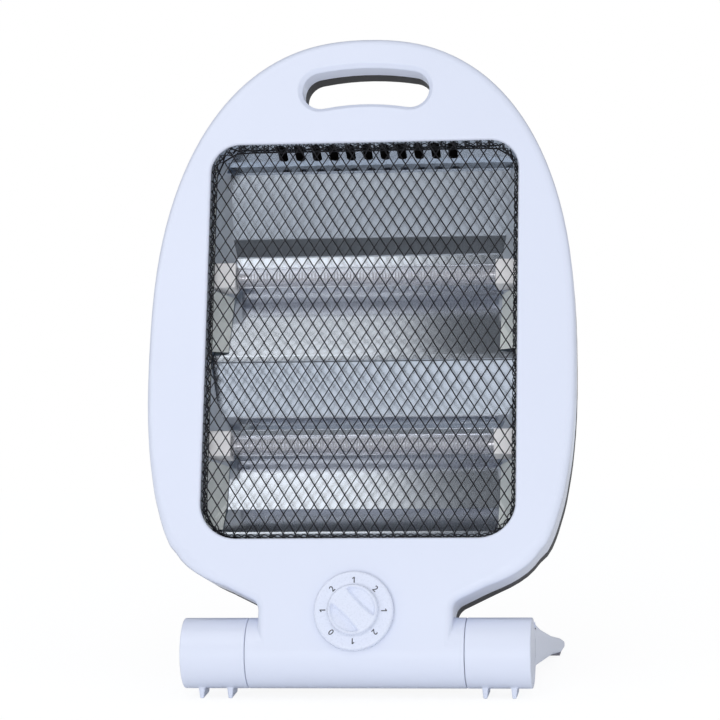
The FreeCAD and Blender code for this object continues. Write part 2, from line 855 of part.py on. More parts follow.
def guard_rim():
    """Thin frame on which the folded wires end, behind the window's edge."""
    half, bottom, top, low_corner, high_corner = guard_frame(0)
    thick = size("guard_rim_size")
    depth = size("guard_back") + size("wire_size") / 4
    half = half - size("guard_side_slant") + size("guard_gap")
    low = bottom - size("guard_foot_slant") - size("guard_gap")
    high = top - size("guard_top_slant") + size("guard_gap")
    outer = rounded_window(half, low, high, low_corner, high_corner, depth)
    inner = rounded_window(half - 2 * thick, low + 2 * thick, high - 2 * thick,
                           low_corner - thick, high_corner - thick, depth)
    return wire_prism(outer, thick).cut(wire_prism(inner, thick))


# Tubes, coils and ceramic ends, drawn along X from the middle of the heater

def quartz_tube(name):
    body = start_body(name)
    start = f"-{CERAMIC_INNER_TEXT} - quartz_seat"
    length = f"-2 * ({start})"
    add_disc(body, "YZ_Plane", "quartz_radius", start, length)
    bore(body, "YZ_Plane", "quartz_bore", start, length)
    return body


def heating_coil(name):
    body = start_body(name)
    add_disc(body, "YZ_Plane", "coil_radius", f"-{CERAMIC_INNER_TEXT}", f"2 * {CERAMIC_INNER_TEXT}")
    end = f"{CERAMIC_INNER_TEXT} + ceramic_length - ceramic_tail"
    add_disc(body, "YZ_Plane", "lead_radius", f"-({end})", f"2 * ({end})")
    return body


def tube_end(name):
    """Ceramic block with a socket for the tube and a hole for the lead."""
    body = start_body(name)
    add_block(body, "YZ_Plane", "ceramic_size", "ceramic_size", "0", "ceramic_length")
    bore(body, "YZ_Plane", "quartz_radius + turning_gap", "0", "quartz_seat + turning_gap")
    bore(body, "YZ_Plane", "lead_radius + turning_gap", "0", "ceramic_length")
    chamfer_edges(body, "lead_radius / 2", lambda edge: abs(edge.BoundBox.XLength - size("ceramic_length"))
                < size("turning_gap") and len(edge.Vertexes) == 2
                and abs(edge.BoundBox.Center.y) > size("quartz_radius"))
    return body


def tube_terminals():
    """Flat push-on tabs on the outer ends of the leads."""
    tabs = []
    start = CERAMIC_INNER + size("ceramic_length") + size("turning_gap")
    for side in (1, -1):
        for level in (size("upper_tube_level"), size("lower_tube_level")):
            x = start if side > 0 else -start - size("tab_length")
            corner = Vector(x, at_depth(size("tube_depth")) - size("tab_width") / 2,
                            level - size("tab_thickness") / 2)
            tabs.append(Part.makeBox(size("tab_length"), size("tab_width"), size("tab_thickness"), corner))
    return Part.makeCompound(tabs)


# Control knob, drawn with its face up and its back at zero

def control_knob():
    body = start_body("control_knob")
    add_disc(body, "XY_Plane", "knob_radius", "0", "knob_base")
    chamfer_edges(body, "knob_rim_chamfer", lambda edge: edge.BoundBox.ZMin > size("knob_base") / 2)
    add_disc(body, "XY_Plane", "grip_radius", "knob_base", "grip_height")
    sketch = sketch_on(body, "XY_Plane", "knob_base + grip_height - grip_scoop")
    for side in (1, -1):
        draw_half_moon(sketch, side)
    pocket(body, sketch, "grip_scoop")
    bore(body, "XY_Plane", "shaft_radius + shaft_clearance", "0", "shaft_in_knob")
    return body


def draw_half_moon(sketch, side):
    """Half disc beside the grip bar, tied to the grip's radius, wall and bar."""
    radius = size("grip_radius") - size("grip_wall")
    low = size("grip_bar") / 2
    reach = math.sqrt(radius * radius - low * low)
    turn = math.atan2(low, reach)
    centre = Vector(0, 0, 0)
    ring = Part.Circle(centre, Vector(0, 0, 1), radius)
    start, end = (turn, math.pi - turn) if side > 0 else (math.pi + turn, 2 * math.pi - turn)
    arc = sketch.addGeometry(Part.ArcOfCircle(ring, start, end), False)
    first = Vector(side * reach, side * low, 0)
    line = sketch.addGeometry(Part.LineSegment(-Vector(first.x, -first.y, 0), first), False)
    sketch.addConstraint(Sketcher.Constraint("Coincident", arc, 3, -1, 1))
    sketch.addConstraint(Sketcher.Constraint("Coincident", arc, 2, line, 1))
    sketch.addConstraint(Sketcher.Constraint("Coincident", arc, 1, line, 2))
    sketch.addConstraint(Sketcher.Constraint("Horizontal", line))
    hold_size(sketch, Sketcher.Constraint("Radius", arc, radius), "grip_radius - grip_wall")
    hold_size(sketch, Sketcher.Constraint("Distance", -1, 1, line, low), "grip_bar / 2")


def knob_shaft():
    body = start_body("knob_shaft")
    length = "shaft_in_knob + knob_gap + front_wall + turning_gap + switch_depth / 2"
    add_disc(body, "XY_Plane", "shaft_radius", "-(knob_gap + front_wall + turning_gap + switch_depth / 2)", length)
    return body


def rotary_switch():
    body = start_body("rotary_switch")
    add_block(body, "XY_Plane", "switch_width", "switch_height", "-switch_depth", "switch_depth")
    add_disc(body, "XY_Plane", "bush_radius - turning_gap", "-turning_gap", "bush_length + turning_gap")
    bore(body, "XY_Plane", "shaft_radius + shaft_clearance", "-switch_depth", "switch_depth + bush_length")
    return body


# Pivot: spigot, washer and bolt on the housing, all drawn along +X from the barrel's end

def pivot_spigot(name):
    body = start_body(name)
    add_disc(body, "YZ_Plane", "barrel_radius - barrel_wall - flange_clearance", "-spigot_flange", "spigot_flange")
    length = "foot_gap + foot_length - foot_shoulder + washer_gap"
    add_disc(body, "YZ_Plane", "spigot_radius", "0", length)
    bore(body, "YZ_Plane", "spigot_bore", "-spigot_flange",
         "spigot_flange + foot_gap + foot_length - foot_shoulder - plug_length")
    bore(body, "YZ_Plane", "bolt_radius", "0", length)
    return body


def pivot_washer(name):
    body = start_body(name)
    add_disc(body, "YZ_Plane", "washer_radius", "0", "washer_thickness")
    bore(body, "YZ_Plane", "bolt_radius + turning_gap", "0", "washer_thickness")
    return body


def pivot_bolt(name):
    body = start_body(name)
    add_disc(body, "YZ_Plane", "bolt_head_radius", "0", "bolt_head_height")
    add_disc(body, "YZ_Plane", "bolt_radius - turning_gap", "-plug_length", "plug_length")
    return body


# Foot: sleeve on the spigot, two ribs in front and one leg that reaches back and outwards

LEG_DEPTH_SHARES = (0.1, 0.34, 0.66, 0.9, 1)
LEG_TOP_SHARES = (0.82, 0.56, 0.27, 0.09, 0)
LEG_HEIGHT_SHARES = (1, 0.72, 0.42, 0.3, 0.26)
LEG_SPLAY_SHARES = (0, 0.22, 0.6, 0.92, 1)
LEG_WIDTH_SHARES = (1, 0.9, 0.84, 0.84, 0.84)


def leg_section(number):
    """Upright rectangle with cut corners, one of the leg's sections."""
    floor = -size("axis_height") + size("shoe_thickness")
    tip_top = floor + size("leg_tip_height")
    root_top = size("barrel_radius") * 0.8
    y = size("leg_reach") * LEG_DEPTH_SHARES[number]
    top = tip_top + (root_top - tip_top) * LEG_TOP_SHARES[number] / LEG_TOP_SHARES[0]
    height = size("leg_root_height") * LEG_HEIGHT_SHARES[number]
    if number >= len(LEG_DEPTH_SHARES) - 2:
        height = top - floor
    outer = size("leg_outer") + size("leg_splay") * LEG_SPLAY_SHARES[number]
    width = size("leg_width") * LEG_WIDTH_SHARES[number]
    cut = size("leg_chamfer")
    corners = [(outer - width, top - height, 1, 1), (outer, top - height, -1, 1),
               (outer, top, -1, -1), (outer - width, top, 1, -1)]
    points = []
    for index, (x, z, inward, upward) in enumerate(corners):
        beside = [Vector(x, y, z + upward * cut), Vector(x + inward * cut, y, z)]
        points += beside if index % 2 == 0 else beside[::-1]
    return Part.makePolygon(points + points[:1])


def foot_rib(x):
    """Rib under the sleeve that narrows to its tip."""
    half_top = size("rib_top_width") / 2
    half_tip = size("rib_tip_width") / 2
    y = -size("rib_length") / 2
    points = [
        Vector(x - half_tip, y, -size("axis_height")),
        Vector(x + half_tip, y, -size("axis_height")),
        Vector(x + half_top, y, -size("barrel_radius") * 0.8),
        Vector(x - half_top, y, -size("barrel_radius") * 0.8),
    ]
    return closed_prism(points, Vector(0, size("rib_length"), 0))


def sleeve_rod(radius, start, length):
    return Part.makeCylinder(radius, length, Vector(start, 0, 0), Vector(1, 0, 0))


SLEEVE_START = size("barrel_length") / 2 + size("foot_gap")
SLEEVE_END = SLEEVE_START + size("foot_length")


def foot():
    sleeve = sleeve_rod(size("barrel_radius"), SLEEVE_START, size("foot_length"))
    leg = Part.makeLoft([leg_section(number) for number in range(len(LEG_DEPTH_SHARES))], True, True)
    ribs = [foot_rib(size("rib_middle") + side * size("rib_spacing") / 2) for side in (-1, 1)]
    whole = fused([sleeve, leg] + ribs)
    cuts = [
        sleeve_rod(size("spigot_radius") + size("turning_gap"), SLEEVE_START, size("foot_length")),
        sleeve_rod(size("foot_recess_radius"), SLEEVE_END - size("foot_shoulder"), size("foot_shoulder")),
        sleeve_rod(size("cap_radius") + size("cap_clearance"), SLEEVE_END - size("cap_thickness"),
                   size("cap_thickness") + size("overrun")),
        rear_shoe(),
    ]
    return whole.cut(cuts)


def foot_cap(name):
    body = start_body(name)
    add_disc(body, "YZ_Plane", "cap_radius", "0", "cap_thickness")
    return body


def rear_shoe():
    """Rubber pad under the tip of the leg."""
    length = size("shoe_length")
    width = size("leg_width") * LEG_WIDTH_SHARES[-1] - 2 * size("shoe_inset")
    outer = size("leg_outer") + size("leg_splay") * LEG_SPLAY_SHARES[-2] - size("shoe_inset")
    corner = Vector(outer - width, size("leg_reach") - length - size("shoe_inset"), -size("axis_height"))
    return Part.makeBox(width, length, size("shoe_thickness"), corner)


def mirrored(shape):
    return shape.mirror(Vector(0, 0, 0), Vector(1, 0, 0))


# Inner parts and fasteners

def cover_screws():
    screws = []
    for x, z in BOSSES:
        seat = line_depth("back_low", "back_high", z) - size("screw_seat_depth")
        split = line_depth("split_low", "split_high", z)
        head = depth_rod(size("screw_head_radius"), x, z, seat, seat + size("screw_head_height"))
        shank = depth_rod(size("screw_radius"), x, z, split - size("screw_bite"), seat)
        screws.append(head.fuse(shank))
    return Part.makeCompound(screws)


def thermal_cutout():
    body = start_body("thermal_cutout")
    add_disc(body, "XZ_Plane", "cutout_radius", "-cutout_height", "cutout_height")
    return body


def terminal_block():
    body = start_body("terminal_block")
    add_block(body, "XZ_Plane", "block_width", "block_height", "0", "block_depth")
    return body


def tilt_switch():
    body = start_body("tilt_switch")
    add_block(body, "XZ_Plane", "tilt_width", "tilt_height", "0", "block_depth")
    return body


def cord_gland():
    body = start_body("cord_gland")
    add_disc(body, "XZ_Plane", "gland_radius", "turning_gap - gland_head", "gland_head - turning_gap")
    add_disc(body, "XZ_Plane", "gland_neck - turning_gap", "0", "rear_wall + gland_nut")
    bore(body, "XZ_Plane", "gland_bore", "-gland_head", "gland_head + rear_wall + gland_nut")
    return body


# Build every piece, with its place in the upright body frame

ahead = Rotation(Vector(1, 0, 0), 90)
flip = Rotation(Vector(0, 1, 0), 180)
straight = Rotation()

HOUSING = []
FEET = []


def on_housing(item, place=None):
    HOUSING.append((item, place or Placement()))


def on_foot(item, place=None):
    FEET.append((item, place or Placement()))


on_housing(feature_of("front_shell", front_shell()))
on_housing(feature_of("rear_cover", rear_cover()))
on_housing(feature_of("reflector", reflector()))
on_housing(feature_of("reflector_side_right", reflector_side(1)))
on_housing(feature_of("reflector_side_left", reflector_side(-1)))
on_housing(feature_of("guard_front_wires", guard_layer(-1, 0)))
on_housing(feature_of("guard_back_wires", guard_layer(1, 1)))
on_housing(feature_of("guard_rim", guard_rim()))
on_housing(feature_of("tube_terminals", tube_terminals()))
on_housing(feature_of("cover_screws", cover_screws()))

for word in ("upper", "lower"):
    middle = Vector(0, at_depth(size("tube_depth")), size(word + "_tube_level"))
    on_housing(quartz_tube(word + "_quartz_tube"), Placement(middle, straight))
    on_housing(heating_coil(word + "_heating_coil"), Placement(middle, straight))
    inner = Vector(CERAMIC_INNER, 0, 0)
    on_housing(tube_end(word + "_ceramic_right"), Placement(middle + inner, straight))
    on_housing(tube_end(word + "_ceramic_left"), Placement(middle - inner, flip))

knob_seat = Vector(0, at_depth(-size("knob_gap")), size("knob_level"))
turned = ahead.multiply(Rotation(Vector(0, 0, 1), -size("grip_angle")))
on_housing(control_knob(), Placement(knob_seat, turned))
on_housing(knob_shaft(), Placement(knob_seat, turned))
switch_seat = Vector(0, at_depth(size("front_wall") + size("turning_gap")), size("knob_level"))
on_housing(rotary_switch(), Placement(switch_seat, ahead))

sheet_back = size("tray_back_depth") + size("sheet_thickness")
cutout_seat = Vector(size("cutout_offset"), at_depth(sheet_back), size("upper_tube_level"))
on_housing(thermal_cutout(), Placement(cutout_seat, straight))


def inside_back(x, z):
    """Place on the inner face of the rear cover."""
    depth = line_depth("back_low", "back_high", z) - size("rear_wall")
    slant = math.degrees(math.atan2(size("back_low") - size("back_high"),
                                    size("high_level") - size("low_level")))
    return Placement(Vector(x, at_depth(depth), z), Rotation(Vector(1, 0, 0), slant))


on_housing(terminal_block(), inside_back(0, size("inner_level")))
on_housing(tilt_switch(), inside_back(size("inner_offset"), size("inner_level")))
gland_place = inside_back(-size("gland_offset"), size("gland_level"))
outside_step = gland_place.Rotation.multVec(Vector(0, size("rear_wall"), 0))
on_housing(cord_gland(), Placement(gland_place.Base + outside_step, gland_place.Rotation))

for word, side in (("right", 1), ("left", -1)):
    turn = straight if side > 0 else flip
    barrel_end = Vector(side * size("barrel_length") / 2, 0, 0)
    shoulder = Vector(side * (SLEEVE_END - size("foot_shoulder") + size("washer_gap")), 0, 0)
    washer_face = shoulder + Vector(side * size("washer_thickness"), 0, 0)
    on_housing(pivot_spigot("pivot_spigot_" + word), Placement(barrel_end, turn))
    on_housing(pivot_washer("pivot_washer_" + word), Placement(shoulder, turn))
    on_housing(pivot_bolt("pivot_bolt_" + word), Placement(washer_face, turn))
    shape = foot() if side > 0 else mirrored(foot())
    shoe = rear_shoe() if side > 0 else mirrored(rear_shoe())
    on_foot(feature_of("foot_" + word, shape))
    on_foot(feature_of("rear_shoe_" + word, shoe))
    cap_seat = Vector(side * (SLEEVE_END - size("cap_thickness")), 0, 0)
    on_foot(foot_cap("foot_cap_" + word), Placement(cap_seat, turn))

doc.recompute()

# Lean the housing back about the barrel axis, stand everything on the floor and centre it

lifted = Placement(Vector(0, 0, size("axis_height")), straight)
leaned = lifted.multiply(Placement(Vector(0, 0, 0), Rotation(Vector(1, 0, 0), -size("lean_angle"))))


def set_places(shift):
    for item, place in HOUSING:
        item.Placement = Placement(shift, straight).multiply(leaned).multiply(place)
    for item, place in FEET:
        item.Placement = Placement(shift, straight).multiply(lifted).multiply(place)


set_places(Vector(0, 0, 0))
doc.recompute()
whole = FreeCAD.BoundBox()
for item, place in HOUSING + FEET:
    whole.add(item.Shape.optimalBoundingBox(False))
set_places(Vector(-whole.Center.x, -whole.Center.y, 0))
doc.recompute()

# Check every object, then write each piece to its own file

for item in doc.Objects:
    if "Invalid" in item.State or "Error" in item.State:
        raise RuntimeError("failed object: " + item.Label)
os.makedirs("parts", exist_ok=True)
for item, place in HOUSING + FEET:
    if item.Shape.isNull() or not item.Shape.isValid():
        raise RuntimeError("bad shape: " + item.Label)
    item.Shape.exportStep("parts/" + item.Label + ".step")
    print(item.Label, len(item.Shape.Solids), "solid(s)", round(item.Shape.Volume), "mm3")
axis_y = -whole.Center.y
print("barrel axis y", round(axis_y, 3), "height", size("axis_height"))
print("size", round(whole.XLength, 2), round(whole.YLength, 2), round(whole.ZLength, 2))
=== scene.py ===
# %% [markdown]
# # A quartz tube heater, dressed for its portrait
#
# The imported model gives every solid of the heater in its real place. This lesson keeps those places and
# gives each piece the surface that the real one shows: glossy white moulding, a dark wire guard, a folded
# sheet reflector, satin quartz tubes and a numbered dial.

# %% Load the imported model
import json
import random
from math import cos, pi, radians, sin, sqrt

import bmesh
import bpy
from mathutils import Matrix, Quaternion, Vector

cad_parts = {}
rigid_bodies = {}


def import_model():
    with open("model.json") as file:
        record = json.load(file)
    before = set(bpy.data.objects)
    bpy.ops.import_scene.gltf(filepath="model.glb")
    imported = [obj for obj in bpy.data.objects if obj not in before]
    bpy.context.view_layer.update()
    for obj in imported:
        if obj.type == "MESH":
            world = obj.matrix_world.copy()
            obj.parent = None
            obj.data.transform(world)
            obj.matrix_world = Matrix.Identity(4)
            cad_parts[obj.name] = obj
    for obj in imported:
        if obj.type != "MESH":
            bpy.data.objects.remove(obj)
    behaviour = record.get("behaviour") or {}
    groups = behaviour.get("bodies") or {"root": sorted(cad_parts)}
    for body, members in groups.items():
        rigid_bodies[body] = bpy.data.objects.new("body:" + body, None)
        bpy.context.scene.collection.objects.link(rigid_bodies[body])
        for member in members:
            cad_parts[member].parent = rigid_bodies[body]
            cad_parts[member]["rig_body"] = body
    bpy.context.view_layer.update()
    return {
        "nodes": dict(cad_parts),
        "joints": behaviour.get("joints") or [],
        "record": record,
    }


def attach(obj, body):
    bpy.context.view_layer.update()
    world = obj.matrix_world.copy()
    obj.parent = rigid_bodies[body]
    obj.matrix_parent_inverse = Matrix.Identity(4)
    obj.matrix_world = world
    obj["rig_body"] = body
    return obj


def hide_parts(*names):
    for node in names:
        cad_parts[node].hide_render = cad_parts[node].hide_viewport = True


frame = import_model()

# %% [markdown]
# ## The housing's own directions
#
# The heater leans back on its round base. Its pieces are easier to think of upright, in millimetres, with
# x to the right, y to the back and z up the face, measured from the middle of the base barrel. One matrix
# carries a place from that upright sheet into the leaning model. The barrel's middle is where the feet turn,
# so it is read from their joint.

# %% From upright millimetres to the leaning model
joints = {joint["name"]: joint for joint in frame["joints"]}
BARREL = Vector((0, *joints["foot_right_turn"]["pos_m"][1:]))
LEAN = radians(20)
FACE = -20
HOUSING = Matrix.Translation(BARREL) @ Matrix.Rotation(-LEAN, 4, "X") @ Matrix.Scale(0.001, 4)


def on_housing(x, depth, z):
    """Place of a point that lies depth millimetres behind the face plane."""
    return HOUSING @ Vector((x, FACE + depth, z))


print("barrel middle", [round(value, 4) for value in BARREL])

# %% [markdown]
# ## Camera
#
# The photograph was taken from some distance, a little from the right and a little above the middle. A long
# lens at nearly two metres keeps the outline as upright as it is there. The heater stands slightly askew in
# the picture, so the camera is rolled by a degree and a half.

# %% Camera at the photograph's angle
EYE = Vector((0.2430, -1.8259, 0.3785))
GAZE = Vector((-0.1321, 0.9859, -0.1038))
ROLL = radians(-1.48)
camera_data = bpy.data.cameras.new("camera")
camera_data.lens = 160
camera_data.sensor_width = 36
camera_data.clip_start = 0.05
camera = bpy.data.objects.new("camera", camera_data)
camera.matrix_world = Matrix.Translation(EYE) @ (
    GAZE.to_track_quat("-Z", "Y") @ Quaternion((0, 0, 1), ROLL)).to_matrix().to_4x4()
bpy.context.scene.collection.objects.link(camera)
bpy.context.scene.camera = camera
print("camera", [round(value, 3) for value in EYE])

# %% [markdown]
# ## Room: floor, world and lamps
#
# The background of the photograph is plain white. The world therefore shows white to the camera and gives the
# object a quieter, even light. A bright sheet reflector only looks like metal when the room has darker parts
# to mirror, so mirrored rays meet a room in tiers: each tier has a height and a level of light, and each panel
# of the reflector looks at one or two of them. The floor shows mostly white and keeps a share of the real
# shadow.

# %% World and its output
bpy.context.scene.view_settings.view_transform = "Standard"
world = bpy.data.worlds.new("studio")
bpy.context.scene.world = world
world.use_nodes = True
nodes = world.node_tree.nodes
links = world.node_tree.links
nodes.clear()
world_output = nodes.new("ShaderNodeOutputWorld")
path = nodes.new("ShaderNodeLightPath")
print("world", world.name)

# %% Levels of the mirrored room
direction = nodes.new("ShaderNodeTexCoord")
parts = nodes.new("ShaderNodeSeparateXYZ")
links.new(direction.outputs["Generated"], parts.inputs["Vector"])
height = nodes.new("ShaderNodeMapRange")
height.inputs["From Min"].default_value = -1
links.new(parts.outputs["Z"], height.inputs["Value"])
tiers = nodes.new("ShaderNodeValToRGB")
tiers.color_ramp.interpolation = "EASE"
TIER_TINT = (0.95, 1, 1.08)
ROOM_TIERS = [(-0.7, 0.14), (-0.45, 0.34), (-0.16, 0.78), (0.0, 0.6), (0.09, 0.09), (0.2, 0.07), (0.34, 0.5),
              (0.46, 0.54), (0.53, 0.16), (1.0, 0.13)]
for number, (rise, level) in enumerate(ROOM_TIERS):
    place = (rise + 1) / 2
    tier = tiers.color_ramp.elements[number] if number < 2 else tiers.color_ramp.elements.new(place)
    tier.position = place
    tier.color = [level * tint for tint in TIER_TINT] + [1]
links.new(height.outputs["Result"], tiers.inputs["Fac"])
print("room tiers", len(ROOM_TIERS))

# %% Even light, mirrored room and white backdrop
room = nodes.new("ShaderNodeBackground")
room.inputs["Color"].default_value = (0.96, 0.97, 1, 1)
room.inputs["Strength"].default_value = 0.7
mirrored = nodes.new("ShaderNodeBackground")
links.new(tiers.outputs["Color"], mirrored.inputs["Color"])
mirrored.inputs["Strength"].default_value = 1
backdrop = nodes.new("ShaderNodeBackground")
backdrop.inputs["Color"].default_value = (1, 1, 1, 1)
backdrop.inputs["Strength"].default_value = 1
print("world strength", room.inputs["Strength"].default_value)

# %% Which ray sees which of the three
glossy_mix = nodes.new("ShaderNodeMixShader")
links.new(path.outputs["Is Glossy Ray"], glossy_mix.inputs["Fac"])
links.new(room.outputs["Background"], glossy_mix.inputs[1])
links.new(mirrored.outputs["Background"], glossy_mix.inputs[2])
camera_mix = nodes.new("ShaderNodeMixShader")
links.new(path.outputs["Is Camera Ray"], camera_mix.inputs["Fac"])
links.new(glossy_mix.outputs["Shader"], camera_mix.inputs[1])
links.new(backdrop.outputs["Background"], camera_mix.inputs[2])
links.new(camera_mix.outputs["Shader"], world_output.inputs["Surface"])
print("world nodes", len(nodes))

# %% Floor sheet
FLOOR_HALF = 0.75
floor_shape = bmesh.new()
bmesh.ops.create_grid(floor_shape, x_segments=1, y_segments=1, size=FLOOR_HALF)
floor_mesh = bpy.data.meshes.new("floor")
floor_shape.to_mesh(floor_mesh)
floor_shape.free()
floor = bpy.data.objects.new("floor", floor_mesh)
bpy.context.scene.collection.objects.link(floor)
print("floor", round(floor.dimensions.x, 2))

# %% Floor paint
GLOW_STRENGTH = 1.1
GLOW_SHARE = 0.8
floor_paint = bpy.data.materials.new("floor_paint")
floor_paint.use_nodes = True
nodes = floor_paint.node_tree.nodes
links = floor_paint.node_tree.links
nodes.clear()
floor_output = nodes.new("ShaderNodeOutputMaterial")
matte = nodes.new("ShaderNodeBsdfDiffuse")
matte.inputs["Color"].default_value = (0.86, 0.87, 0.88, 1)
glow = nodes.new("ShaderNodeEmission")
glow.inputs["Strength"].default_value = GLOW_STRENGTH
path = nodes.new("ShaderNodeLightPath")
share = nodes.new("ShaderNodeMath")
share.operation = "MULTIPLY"
share.inputs[1].default_value = GLOW_SHARE
links.new(path.outputs["Is Camera Ray"], share.inputs[0])
floor_mix = nodes.new("ShaderNodeMixShader")
links.new(share.outputs["Value"], floor_mix.inputs["Fac"])
links.new(matte.outputs["BSDF"], floor_mix.inputs[1])
links.new(glow.outputs["Emission"], floor_mix.inputs[2])
links.new(floor_mix.outputs["Shader"], floor_output.inputs["Surface"])
floor_mesh.materials.append(floor_paint)
print("floor glow", GLOW_STRENGTH, "share", GLOW_SHARE)

# %% [markdown]
# ## Lamps
#
# A large lamp in front gives the moulding its soft light, and no mirror sees it. Two panels hang over the left
# side and do the opposite: they light no matt surface, but the folded sheet mirrors them, as it mirrored the
# studio's own lamps. Where they end, the sheet turns dark.


# %% Lamps
def soft_lamp(name, place, target, width, height, power):
    """Area lamp that looks from place to target, in metres and watts."""
    lamp_data = bpy.data.lights.new(name, "AREA")
    lamp_data.shape = "RECTANGLE"
    lamp_data.size = width
    lamp_data.size_y = height
    lamp_data.energy = power
    lamp = bpy.data.objects.new(name, lamp_data)
    aim = (Vector(target) - Vector(place)).to_track_quat("-Z", "Y")
    lamp.matrix_world = Matrix.Translation(Vector(place)) @ aim.to_matrix().to_4x4()
    bpy.context.scene.collection.objects.link(lamp)
    return lamp


front_lamp = soft_lamp("front_lamp", (0.0, -2.1, 0.3), (0, 0, 0.05), 1.4, 0.8, 16.5)
front_lamp.visible_glossy = False
mirror_panel = soft_lamp("mirror_panel", (-0.85, -1.08, 1.25), (-0.85, -1.08, 0), 1.4, 0.96, 4.9)
near_panel = soft_lamp("near_panel", (-0.79, -0.35, 1.25), (-0.79, -0.35, 0), 1.4, 0.5, 2.2)
for panel in (mirror_panel, near_panel):
    panel.visible_diffuse = False
print("lamps", front_lamp.name, mirror_panel.name, near_panel.name)

# %% [markdown]
# ## Finishes
#
# Every finish starts from the same few nodes on Object coordinates: a broad, faint cloud that shifts the
# colour, a fine grain that becomes bump, and the same grain shifting the roughness a little. Real mouldings,
# sheets and wires are never perfectly even, and these three carry over to any light.


# %% Finish helper
def finish(name, color, roughness, metallic=0.0, drift=0.04, drift_scale=18, grain=600, grain_depth=0.00002,
           roughness_drift=0.05, coat=0.0, coat_roughness=0.1, stretch=(1, 1, 1)):
    """Material with a faint colour drift, a grain in bump and roughness, and the shader's other values."""
    material = bpy.data.materials.new(name)
    material.use_nodes = True
    nodes = material.node_tree.nodes
    links = material.node_tree.links
    shader = nodes["Principled BSDF"]
    place = nodes.new("ShaderNodeTexCoord")
    lay = nodes.new("ShaderNodeMapping")
    lay.inputs["Scale"].default_value = stretch
    links.new(place.outputs["Object"], lay.inputs["Vector"])
    cloud = nodes.new("ShaderNodeTexNoise")
    cloud.inputs["Scale"].default_value = drift_scale
    cloud.inputs["Detail"].default_value = 3
    links.new(lay.outputs["Vector"], cloud.inputs["Vector"])
    shades = nodes.new("ShaderNodeValToRGB")
    low = shades.color_ramp.elements[0]
    high = shades.color_ramp.elements[1]
    low.position = 0.3
    high.position = 0.7
    low.color = [channel * (1 - drift) for channel in color] + [1]
    high.color = [min(1, channel * (1 + drift)) for channel in color] + [1]
    links.new(cloud.outputs["Fac"], shades.inputs["Fac"])
    links.new(shades.outputs["Color"], shader.inputs["Base Color"])
    fine = nodes.new("ShaderNodeTexNoise")
    fine.name = "grain"
    fine.inputs["Scale"].default_value = grain
    fine.inputs["Detail"].default_value = 2
    links.new(lay.outputs["Vector"], fine.inputs["Vector"])
    rough = nodes.new("ShaderNodeMapRange")
    rough.inputs["To Min"].default_value = max(0.02, roughness - roughness_drift)
    rough.inputs["To Max"].default_value = min(1, roughness + roughness_drift)
    links.new(fine.outputs["Fac"], rough.inputs["Value"])
    links.new(rough.outputs["Result"], shader.inputs["Roughness"])
    relief = nodes.new("ShaderNodeBump")
    relief.inputs["Distance"].default_value = grain_depth
    relief.inputs["Strength"].default_value = 1
    links.new(fine.outputs["Fac"], relief.inputs["Height"])
    links.new(relief.outputs["Normal"], shader.inputs["Normal"])
    shader.inputs["Metallic"].default_value = metallic
    shader.inputs["Coat Weight"].default_value = coat
    shader.inputs["Coat Roughness"].default_value = coat_roughness
    return material


# %% Finishes of mouldings and small parts
finishes = {
    "body_white": finish("white_moulding", (0.76, 0.81, 0.95), 0.3, drift=0.008, drift_scale=9, grain=900,
                         grain_depth=0.000004, coat=0.25, coat_roughness=0.12),
    "back_dark": finish("dark_moulding", (0.022, 0.02, 0.02), 0.55, drift=0.12, grain=1500,
                        grain_depth=0.00005, roughness_drift=0.1),
    "knob": finish("knob_moulding", (0.76, 0.81, 0.95), 0.28, drift=0.008, drift_scale=12, grain=900,
                   grain_depth=0.000003, coat=0.3),
    "shaft": finish("turned_steel", (0.5, 0.5, 0.5), 0.35, metallic=1, grain=900, stretch=(6, 1, 1)),
    "switch": finish("moulded_black", (0.03, 0.03, 0.032), 0.5, drift=0.1, grain=1200, grain_depth=0.00004),
    "terminal": finish("stamped_brass", (0.7, 0.55, 0.25), 0.38, metallic=1, drift=0.1, grain=700),
    "screw": finish("zinc_plate", (0.5, 0.5, 0.52), 0.36, metallic=1, drift=0.1, grain=800),
    "cutout": finish("pressed_can", (0.65, 0.65, 0.66), 0.3, metallic=1, drift=0.05),
    "block": finish("natural_nylon", (0.72, 0.7, 0.62), 0.5, drift=0.05, grain=700),
    "rubber": finish("soft_rubber", (0.33, 0.32, 0.36), 0.8, drift=0.15, grain=1400, grain_depth=0.00008),
    "spigot": finish("pale_nylon", (0.6, 0.61, 0.65), 0.45, drift=0.04, grain=900),
    "ceramic": finish("dry_ceramic", (0.93, 0.92, 0.94), 0.7, drift=0.03, drift_scale=60, grain=1800,
                      grain_depth=0.00004),
}
print("first finishes", len(finishes))

# %% [markdown]
# ## Wires, sheets and quartz
#
# The guard is wire with a dark lacquer, mostly metal in its shine. The reflector is bright rolled sheet: the
# rollers leave fine lines along it, so its grain is stretched that way, and its bump stays below a thousandth
# of a millimetre, or the mirrored room would break up. The tubes are satin quartz, a nearly clear body with a
# slightly rough skin and a thin coat, so that the bright winding inside fills them with light.

